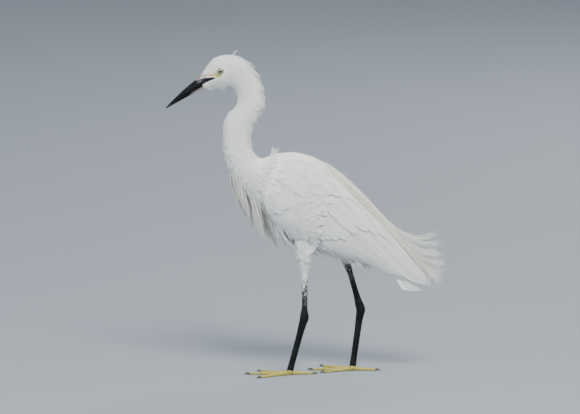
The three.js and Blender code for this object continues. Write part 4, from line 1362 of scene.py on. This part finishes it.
def make_back_plumes():
    """The long back plumes, which lie over the wings and curl up: their thin shafts, then their
    barbs."""
    rng = np.random.default_rng(SEED + 5)
    count = sizes().back_plumes
    paths, spots, turns = [], [], []
    for i in range(count):
        f = (i + rng.random()) / count
        side = 1 if i % 2 else -1
        phi = side * (2 + 40 * f + rng.normal(0, 3))
        start = rng.uniform(1.6, 3.6)
        leave = mix(5.0, 7.0, f) + rng.normal(0, 0.2)
        x, z = (np.interp(f, [0, 0.5, 1], row) for row in PLUME_TIPS)
        tip = vec(x, side * (2 + 10 * f) + rng.normal(0, 3.5), z) + rng.normal(0, 5.0, 3) * vec(0.8, 0.7, 1)
        keys = []
        for share, turn, lift in PLUME_LIE:
            where = (mix(start, leave, share), phi * turn)
            keys.append(wings.point(*where) + wings.normal(*where) * (lift + rng.uniform(0, 0.9)))
        gap = float(np.linalg.norm(tip - keys[-1]))
        ahead = keys[-1] + unit(keys[-1] - keys[-2]) * gap * 0.36
        keys += [ahead, mix(ahead, tip, 0.6) + vec(1, 0, -0.09 * gap * (1 - 0.6 * f)), tip]
        paths.append(catmull_rom(keys, 40))
        spots.append(wings.spot(start, phi * 0.6))
        turns.append(phi)
    paths, spots = np.array(paths), np.array(spots)
    facing = wings.normal(np.full(count, 5.0), np.array(turns))
    shade = rng.uniform(0.1, 0.55, count)
    shafts = strand_mesh("back_plume_shafts", paths, np.full(count, 0.8), facing, 0.35, spots, shade)
    add_piece(shafts, (), "plume")
    make_barbs(paths, facing, spots, shade, rng)


# Wings and tail


def vane_outline(t, tip_share=0.2, pointed=2.0):
    wide = np.where(t < 0.3, mix(0.45, 1.0, np.sin(np.minimum(t / 0.3, 1) * math.pi / 2)), 1.0)
    late = np.clip((t - 0.62) / 0.38, 0, 1)
    return wide * mix(tip_share, 1.0, np.sqrt(np.maximum(1 - late**pointed, 0)))


def shell(outer, inner):
    """Points and faces of a closed thin sheet from its outer and inner grid."""
    rows, columns = outer.shape[:2]
    n = rows * columns
    faces = grid_faces(rows, columns).tolist() + [f[::-1] for f in grid_faces(rows, columns, n).tolist()]
    rim = [
        *range(columns - 1),
        *(r * columns + columns - 1 for r in range(rows - 1)),
        *((rows - 1) * columns + c for c in range(columns - 1, 0, -1)),
        *(r * columns for r in range(rows - 1, 0, -1)),
    ]
    for a, b in zip(rim, rim[1:] + rim[:1]):
        faces.append([a, b, b + n, a + n])
    points = np.concatenate([outer.reshape(-1, 3), inner.reshape(-1, 3)])
    return points, turned_out(points, faces)


def vane_places(k, t):
    """Places across and along a vane, for both faces of its shell."""
    across, along = np.meshgrid((k + 1) / 2, t)
    return np.tile(np.stack([across.ravel(), along.ravel()], -1), (2, 1))


# A vane's thickness, how much lower one edge lies than the other, how far its middle and its shaft
# rise, and how far its tip dips.
VANE_THICK, VANE_TILT, VANE_CAMBER, SHAFT_RISE, TIP_DIP = 0.3, 0.8, 0.35, 0.15, 0.6


def vane_on(skin, root, tip, width, lift, side, rng, columns, bow):
    """One feather lying on a skin, from root to tip, each [u, phi]. Returns points, faces, vane uv,
    and its root's place."""
    rows = 20
    t = 1 - (1 - np.linspace(0, 1, rows)) ** 1.4
    u = mix(root[0], tip[0], t)
    phi = side * (mix(root[1], tip[1], t) + bow * np.sin(math.pi * t))
    along_u, around = skin.slopes(u, phi)
    turn = side * (tip[1] - root[1] + bow * math.pi * np.cos(math.pi * t))
    along = unit(along_u * (tip[0] - root[0]) + around * turn[:, None])
    across = unit(np.cross(along, skin.normal(u, phi)))
    across = across * np.where(dot(across, around * side) < 0, -1, 1)
    edge = 1 + rng.normal(0, 0.02, rows) * (t > 0.2)
    half = width / 2 * vane_outline(t) * edge
    k = np.linspace(-1, 1, columns)
    to_u = dot(across, along_u)[:, 0] / dot(along_u, along_u)[:, 0]
    to_phi = dot(across, around)[:, 0] / dot(around, around)[:, 0]
    on_u = u[:, None] + (half * to_u)[:, None] * k
    on_phi = phi[:, None] + (half * to_phi)[:, None] * k
    out = skin.normal(on_u, on_phi)
    height = mix(lift[0], lift[1], np.sin(t * math.pi / 2))[:, None]
    height = height + VANE_TILT * (k - 1) / 2 + VANE_CAMBER * (1 - k**2)
    height = height + SHAFT_RISE * np.exp(-(k / 0.12) ** 2) * (1 - t)[:, None]
    height = height - TIP_DIP * smooth(0.75, 1, t)[:, None]
    outer = skin.point(on_u, on_phi) + out * height[..., None]
    points, faces = shell(outer, outer - out * VANE_THICK)
    return points, faces, vane_places(k, t), skin.spot(root[0], side * root[1])


def vanes_piece(name, made, node, rng):
    mesh = new_mesh(name, *joined([(points, faces) for points, faces, _, _ in made]), 50)
    put_uv(mesh, "Vane", np.concatenate([vane for _, _, vane, _ in made]))
    put_uv(mesh, "OFBake", np.concatenate([spot + (vane - 0.5) * PATCH for _, _, vane, spot in made]))
    shade = [np.full(len(points), rng.uniform(0.02, 0.14)) for points, _, _, _ in made]
    put_values(mesh, "shade", np.concatenate(shade))
    add_piece(mesh, [node], "white")


# Rows of the wing, lowest first: count, root and tip of the first and last feather, width, lift.
WING_ROWS = {
    "primaries": (6, ((3, 98), (3.4, 118)), ((8.0, 106), (7.2, 132)), (19, 16), (-8, -4.6)),
    "secondaries": (13, ((3, 112), (1.2, 121)), ((5.7, 141), (2.1, 150)), (24, 19), (-8, -3.9)),
    "inner_secondaries": (6, ((3, 84), (3, 108)), ((7.7, 88), (5.9, 132)), (25, 22), (-7, -3.1)),
    "tertials": (7, ((2.6, 50), (2.6, 84)), ((7.75, 62), (8.02, 100)), (26, 24), (-7, -1.9)),
    "greater_coverts": (12, ((1.9, 72), (0.9, 126)), ((4.6, 86), (2.0, 145)), (22, 17), (-7, -2.7)),
    "median_coverts": (11, ((1.2, 66), (0.5, 120)), ((3.3, 82), (1.35, 140)), (22, 16), (-6.5, -2.1)),
    "lesser_coverts": (12, ((0.6, 62), (0.1, 116)), ((2.2, 76), (0.75, 134)), (19, 13), (-6, -1.5)),
    "rear_scapulars": (6, ((1.6, 34), (1.4, 62)), ((6.4, 40), (4.3, 88)), (25, 23), (-6, -1.2)),
    "scapulars": (7, ((0.6, 30), (0.2, 66)), ((4.0, 40), (2.1, 84)), (25, 21), (-6, -0.6)),
}

# The rows whose broad vanes show most.
BROAD_ROWS = ("primaries", "secondaries", "inner_secondaries", "tertials")


def make_wings():
    """Both folded wings, feather by feather in their rows, with small feathers over the shoulder."""
    u = np.linspace(-0.15, 7.6, 70)[:, None]
    phi = np.linspace(-180, 180, 96, endpoint=False)[None, :]
    deep = mix(5.3, 9.5, smooth(128, 145, np.abs(phi))) + 5.0 * smooth(0.25, -0.15, u)
    add_piece(tube_mesh("wing_bed", [wings.point(u, phi, -deep)]), (), "skin")
    for name, side in (("wing_right", 1), ("wing_left", -1)):
        rng = np.random.default_rng(SEED + 6)
        made = []
        for row, (count, root, tip, width, lift) in WING_ROWS.items():
            columns = 9 if row in BROAD_ROWS else 7
            for f in (i / (count - 1) for i in range(count)):
                start = mix(vec(*root[0]), vec(*root[1]), f) + rng.normal(0, 1, 2) * vec(0.03, 0.6)
                end = mix(vec(*tip[0]), vec(*tip[1]), f) + rng.normal(0, 1, 2) * vec(0.05, 0.7)
                rise = (lift[0], lift[1] + rng.normal(0, 0.15))
                bow = rng.normal(0, 0.8)
                made.append(vane_on(wings, start, end, mix(*width, f), rise, side, rng, columns, bow))
        vanes_piece(f"{name}_vanes", made, name, rng)
        u, phi = scatter(wings, -0.25, 2.9, 24, 148, 3.8, 3.6, rng)
        size = mix(9.0, 19.0, smooth(-0.2, 2.2, u))
        roots = lying(wings, u, phi * side, 2.8, size, size * 0.6, 6.5, rng, 0.08)
        nose = smooth(0.7, -0.1, u)[:, None]
        roots["at"] = roots["at"] - roots["out"] * nose * 2.5
        roots["along"] = unit(roots["along"] * (1 - 0.75 * nose) + vec(0.75, 0, -0.66) * nose)
        roots["bend"] = np.full(len(u), 0.6)
        keep = rng.random(len(u)) > smooth(1.9, 2.9, u)
        make_coat(f"{name}_small_feathers", chosen(roots, keep), body_blades(), "white")


# The closed fan of the tail: x, z of root and tip, how much shorter the outer feathers are, half its
# width at root and tip, and its rise between them.
TAIL = {"root": (128, 199), "tip": (192, 133), "shorter": 24, "root_half": 2.5, "tip_half": 12, "crown": 7}


def in_tail(s, t):
    """A place in the tail's fan, from its left (-1) to its right (1), and from root to tip."""
    x = mix(TAIL["root"][0], TAIL["tip"][0] - TAIL["shorter"] * abs(s) ** 1.6, t)
    y = s * mix(TAIL["root_half"], TAIL["tip_half"], t)
    z = mix(TAIL["root"][1], TAIL["tip"][1] + 3 * abs(s), t) + TAIL["crown"] * np.sin(math.pi * t)
    return np.stack([x, y, z], -1)


def make_tail():
    """Twelve tail feathers in a closed fan, with loose coverts over its root."""
    rng = np.random.default_rng(SEED + 7)
    made = []
    count, rows = 12, 20
    t = 1 - (1 - np.linspace(0, 1, rows)) ** 1.5
    k = np.linspace(-1, 1, 9)
    for i in range(count):
        s = (i - (count - 1) / 2) / ((count - 1) / 2)
        at = in_tail(s, t)
        along = unit(np.gradient(at, axis=0))
        roll = math.radians(68 * abs(s)) * (1 if s > 0 else -1)
        across = unit(np.cross(vec(0, 0, 1), along))
        across = across * math.cos(roll) - np.cross(along, across) * math.sin(roll)
        out = np.cross(along, across)[:, None]
        half = 6.4 * vane_outline(t, 0.25, 2.4) * (1 + rng.normal(0, 0.02, rows))
        lift = -0.75 * abs(i - (count - 1) / 2) + 0.5 * (1 - k**2) + 0.3 * np.exp(-(k / 0.12) ** 2)
        outer = at[:, None] + across[:, None] * (half[:, None] * k)[..., None] + out * lift[:, None]
        points, faces = shell(outer, outer - out * 0.35)
        made.append((points, faces, vane_places(k, t), vec(0.1 + 0.06 * i, 0.5)))
    vanes_piece("tail_feathers", made, "tail", rng)
    count = 200
    s, t = rng.uniform(-1, 1, count), rng.uniform(-0.2, 0.26, count)
    roots = {
        "at": in_tail(s, t) - vec(0.4, 0, 1) * rng.uniform(0, 7, count)[:, None],
        "along": unit(vec(0.68, 0, -0.73) + rng.normal(0, 0.08, (count, 3))),
        "out": unit(np.stack([np.full(count, -0.3), np.sign(s) * 0.9, np.full(count, -0.3)], -1)),
        "length": rng.uniform(22, 36, count),
        "width": rng.uniform(6, 9.5, count),
        "spot": np.stack([0.5 + 0.4 * s, 0.3 + 0.6 * t], -1),
        "shade": np.full(count, 0.08),
        "kind": rng.integers(0, 3, count),
        "bend": np.full(count, 0.8),
    }
    make_coat("tail_coverts", roots, body_blades(), "white")


# Stage

# The camera's focal length in millimetres, its distance in metres, its angle down, and what it faces.
LENS, CAMERA_DISTANCE, CAMERA_TILT, CAMERA_AIM = 387.9, 10, math.radians(9), (-0.0216, 0, 0.2689)

# The studio's lights: place, power, size, colour.
LIGHTS = {
    "key": ((0.9, -2.6, 3.4), 270, 1.8, (1.0, 0.985, 0.95)),
    "fill": ((-3.2, -2.2, 1.4), 75, 2.6, (0.90, 0.95, 1.0)),
    "rim": ((1.6, 3.0, 2.6), 90, 2.0, (1.0, 0.98, 0.95)),
}


def floor_mesh():
    """A disc of 30 m round the bird, finest in its middle."""
    sides, rings = 96, 12
    reach = np.linspace(0, 1, rings + 1)[1:] ** 2 * 30000
    turn = np.linspace(0, 2 * math.pi, sides, endpoint=False)
    ring = np.stack([np.cos(turn), np.sin(turn), 0 * turn], -1)
    points = np.concatenate([[[0, 0, 0]], (reach[:, None, None] * ring).reshape(-1, 3)])
    faces = [[0, 1 + s, 1 + (s + 1) % sides] for s in range(sides)]
    faces += grid_faces(rings, sides, 1, True).tolist()
    return new_mesh("floor", points - SHIFT, faces)


def make_stage():
    """A pale floor, soft studio light and the camera."""
    scene = bpy.context.scene
    floor = put_in_scene("floor", floor_mesh())
    floor.data.materials.append(material_for("floor"))
    scene.world = bpy.data.worlds.new("studio")
    scene.world.use_nodes = True
    back = scene.world.node_tree.nodes["Background"]
    back.inputs["Color"].default_value = (0.62, 0.68, 0.76, 1)
    back.inputs["Strength"].default_value = 0.85
    aim = Vector((0.02, 0, 0.28))
    for name, (place, power, size, tone) in LIGHTS.items():
        light = bpy.data.lights.new(name, "AREA")
        light.energy, light.size, light.color = power, size, tone
        lamp = put_in_scene(name, light)
        lamp.location = place
        lamp.rotation_euler = (aim - Vector(place)).to_track_quat("-Z", "Y").to_euler()
    camera = put_in_scene("camera", bpy.data.cameras.new("camera"))
    camera.data.lens, camera.data.sensor_width = LENS, 36
    camera.data.clip_end = 200
    away = Vector((0, -math.cos(CAMERA_TILT), math.sin(CAMERA_TILT)))
    camera.location = Vector(CAMERA_AIM) + away * CAMERA_DISTANCE
    camera.rotation_euler = (math.pi / 2 - CAMERA_TILT, 0, 0)
    scene.camera = camera


# The add-on


class EgretSizes(bpy.types.PropertyGroup):
    breast_plumes: IntProperty(name="Breast plumes", description="How many long plumes hang from the breast",
                               default=300, min=20, max=500)
    back_plumes: IntProperty(name="Back plumes", description="How many curled plumes lie over the wings",
                             default=56, min=8, max=90)
    plume_barbs: IntProperty(name="Barbs per plume", description="How many hair-like barbs a back plume has",
                             default=100, min=20, max=220)
    barb_width: FloatProperty(name="Barb width", description="How wide a barb of a back plume is",
                              default=0.00028, min=0.0001, max=0.001, unit="LENGTH")


def colour(name, description, value):
    return FloatVectorProperty(name=name, description=description, default=value, subtype="COLOR",
                               min=0, max=1)


class EgretColours(bpy.types.PropertyGroup):
    plumage: colour("Plumage", "White of the feathers", (0.90, 0.90, 0.88))
    cream: colour("Plume cream", "Cream of the long plumes", (0.80, 0.76, 0.63))
    bill: colour("Bill", "Black of the bill and gape", (0.0025, 0.003, 0.0035))
    lores: colour("Lores", "Bare skin before the eye", (0.50, 0.36, 0.14))
    eye_patch: colour("Skin below the eye", "Yellow skin round and below the eye", (0.50, 0.50, 0.09))
    iris: colour("Iris", "Pale yellow of the eye", (0.44, 0.48, 0.22))
    leg: colour("Leg", "Black of the legs", (0.0025, 0.0035, 0.0035))
    toes: colour("Toes", "Greenish yellow of the toes", (0.46, 0.37, 0.06))
    floor: colour("Floor", "Pale studio floor", (0.27, 0.30, 0.33))


class EgretSkin(bpy.types.Operator):
    """Makes the skin of head, neck, trunk and thighs"""
    bl_idname = "egret.skin"
    bl_label = "Skin"

    def execute(self, context):
        make_skin()
        return {"FINISHED"}


class EgretEyes(bpy.types.Operator):
    """Makes both eyes"""
    bl_idname = "egret.eyes"
    bl_label = "Eyes"

    def execute(self, context):
        make_eyes()
        return {"FINISHED"}


class EgretBill(bpy.types.Operator):
    """Makes the upper and lower halves of the bill"""
    bl_idname = "egret.bill"
    bl_label = "Bill"

    def execute(self, context):
        for name, facts in BILL_HALVES.items():
            bill_half(name, *facts)
        return {"FINISHED"}


class EgretLegs(bpy.types.Operator):
    """Makes the bare legs, toes and claws"""
    bl_idname = "egret.legs"
    bl_label = "Legs and feet"

    def execute(self, context):
        make_legs()
        make_feet()
        return {"FINISHED"}


class EgretHeadCoat(bpy.types.Operator):
    """Makes the short feathers of head and neck"""
    bl_idname = "egret.head_coat"
    bl_label = "Head and neck feathers"

    def execute(self, context):
        make_head_coat()
        make_neck_coat()
        return {"FINISHED"}


class EgretBodyCoat(bpy.types.Operator):
    """Makes the feathers of trunk, belly and thighs"""
    bl_idname = "egret.body_coat"
    bl_label = "Body feathers"

    def execute(self, context):
        make_body_coat()
        make_thigh_coat()
        return {"FINISHED"}


class EgretPlumes(bpy.types.Operator):
    """Makes the long plumes of breast and back"""
    bl_idname = "egret.plumes"
    bl_label = "Plumes"

    def execute(self, context):
        make_breast_plumes()
        make_back_plumes()
        return {"FINISHED"}


class EgretWings(bpy.types.Operator):
    """Makes both folded wings"""
    bl_idname = "egret.wings"
    bl_label = "Wings"

    def execute(self, context):
        make_wings()
        return {"FINISHED"}


class EgretTail(bpy.types.Operator):
    """Makes the tail"""
    bl_idname = "egret.tail"
    bl_label = "Tail"

    def execute(self, context):
        make_tail()
        return {"FINISHED"}


class EgretStage(bpy.types.Operator):
    """Makes the floor, lights and camera"""
    bl_idname = "egret.stage"
    bl_label = "Stage"

    def execute(self, context):
        make_stage()
        return {"FINISHED"}


PIECES = (EgretSkin, EgretEyes, EgretBill, EgretLegs, EgretHeadCoat, EgretBodyCoat, EgretPlumes, EgretWings,
          EgretTail, EgretStage)


class EgretPanel(bpy.types.Panel):
    bl_idname = "VIEW3D_PT_egret"
    bl_label = "Little egret"
    bl_space_type = "VIEW_3D"
    bl_region_type = "UI"
    bl_category = "Egret"

    def draw(self, context):
        for group in (context.scene.egret_sizes, context.scene.egret_colours):
            for key in group.__annotations__:
                self.layout.prop(group, key)
        for piece in PIECES:
            self.layout.operator(piece.bl_idname)


CLASSES = (EgretSizes, EgretColours, *PIECES, EgretPanel)


def register():
    for one in CLASSES:
        bpy.utils.register_class(one)
    bpy.types.Scene.egret_sizes = PointerProperty(type=EgretSizes)
    bpy.types.Scene.egret_colours = PointerProperty(type=EgretColours)


def unregister():
    del bpy.types.Scene.egret_sizes
    del bpy.types.Scene.egret_colours
    for one in reversed(CLASSES):
        bpy.utils.unregister_class(one)


def main():
    register()
    for piece in PIECES:
        group, name = piece.bl_idname.split(".")
        getattr(getattr(bpy.ops, group), name)()


if __name__ == "__main__":
    main()
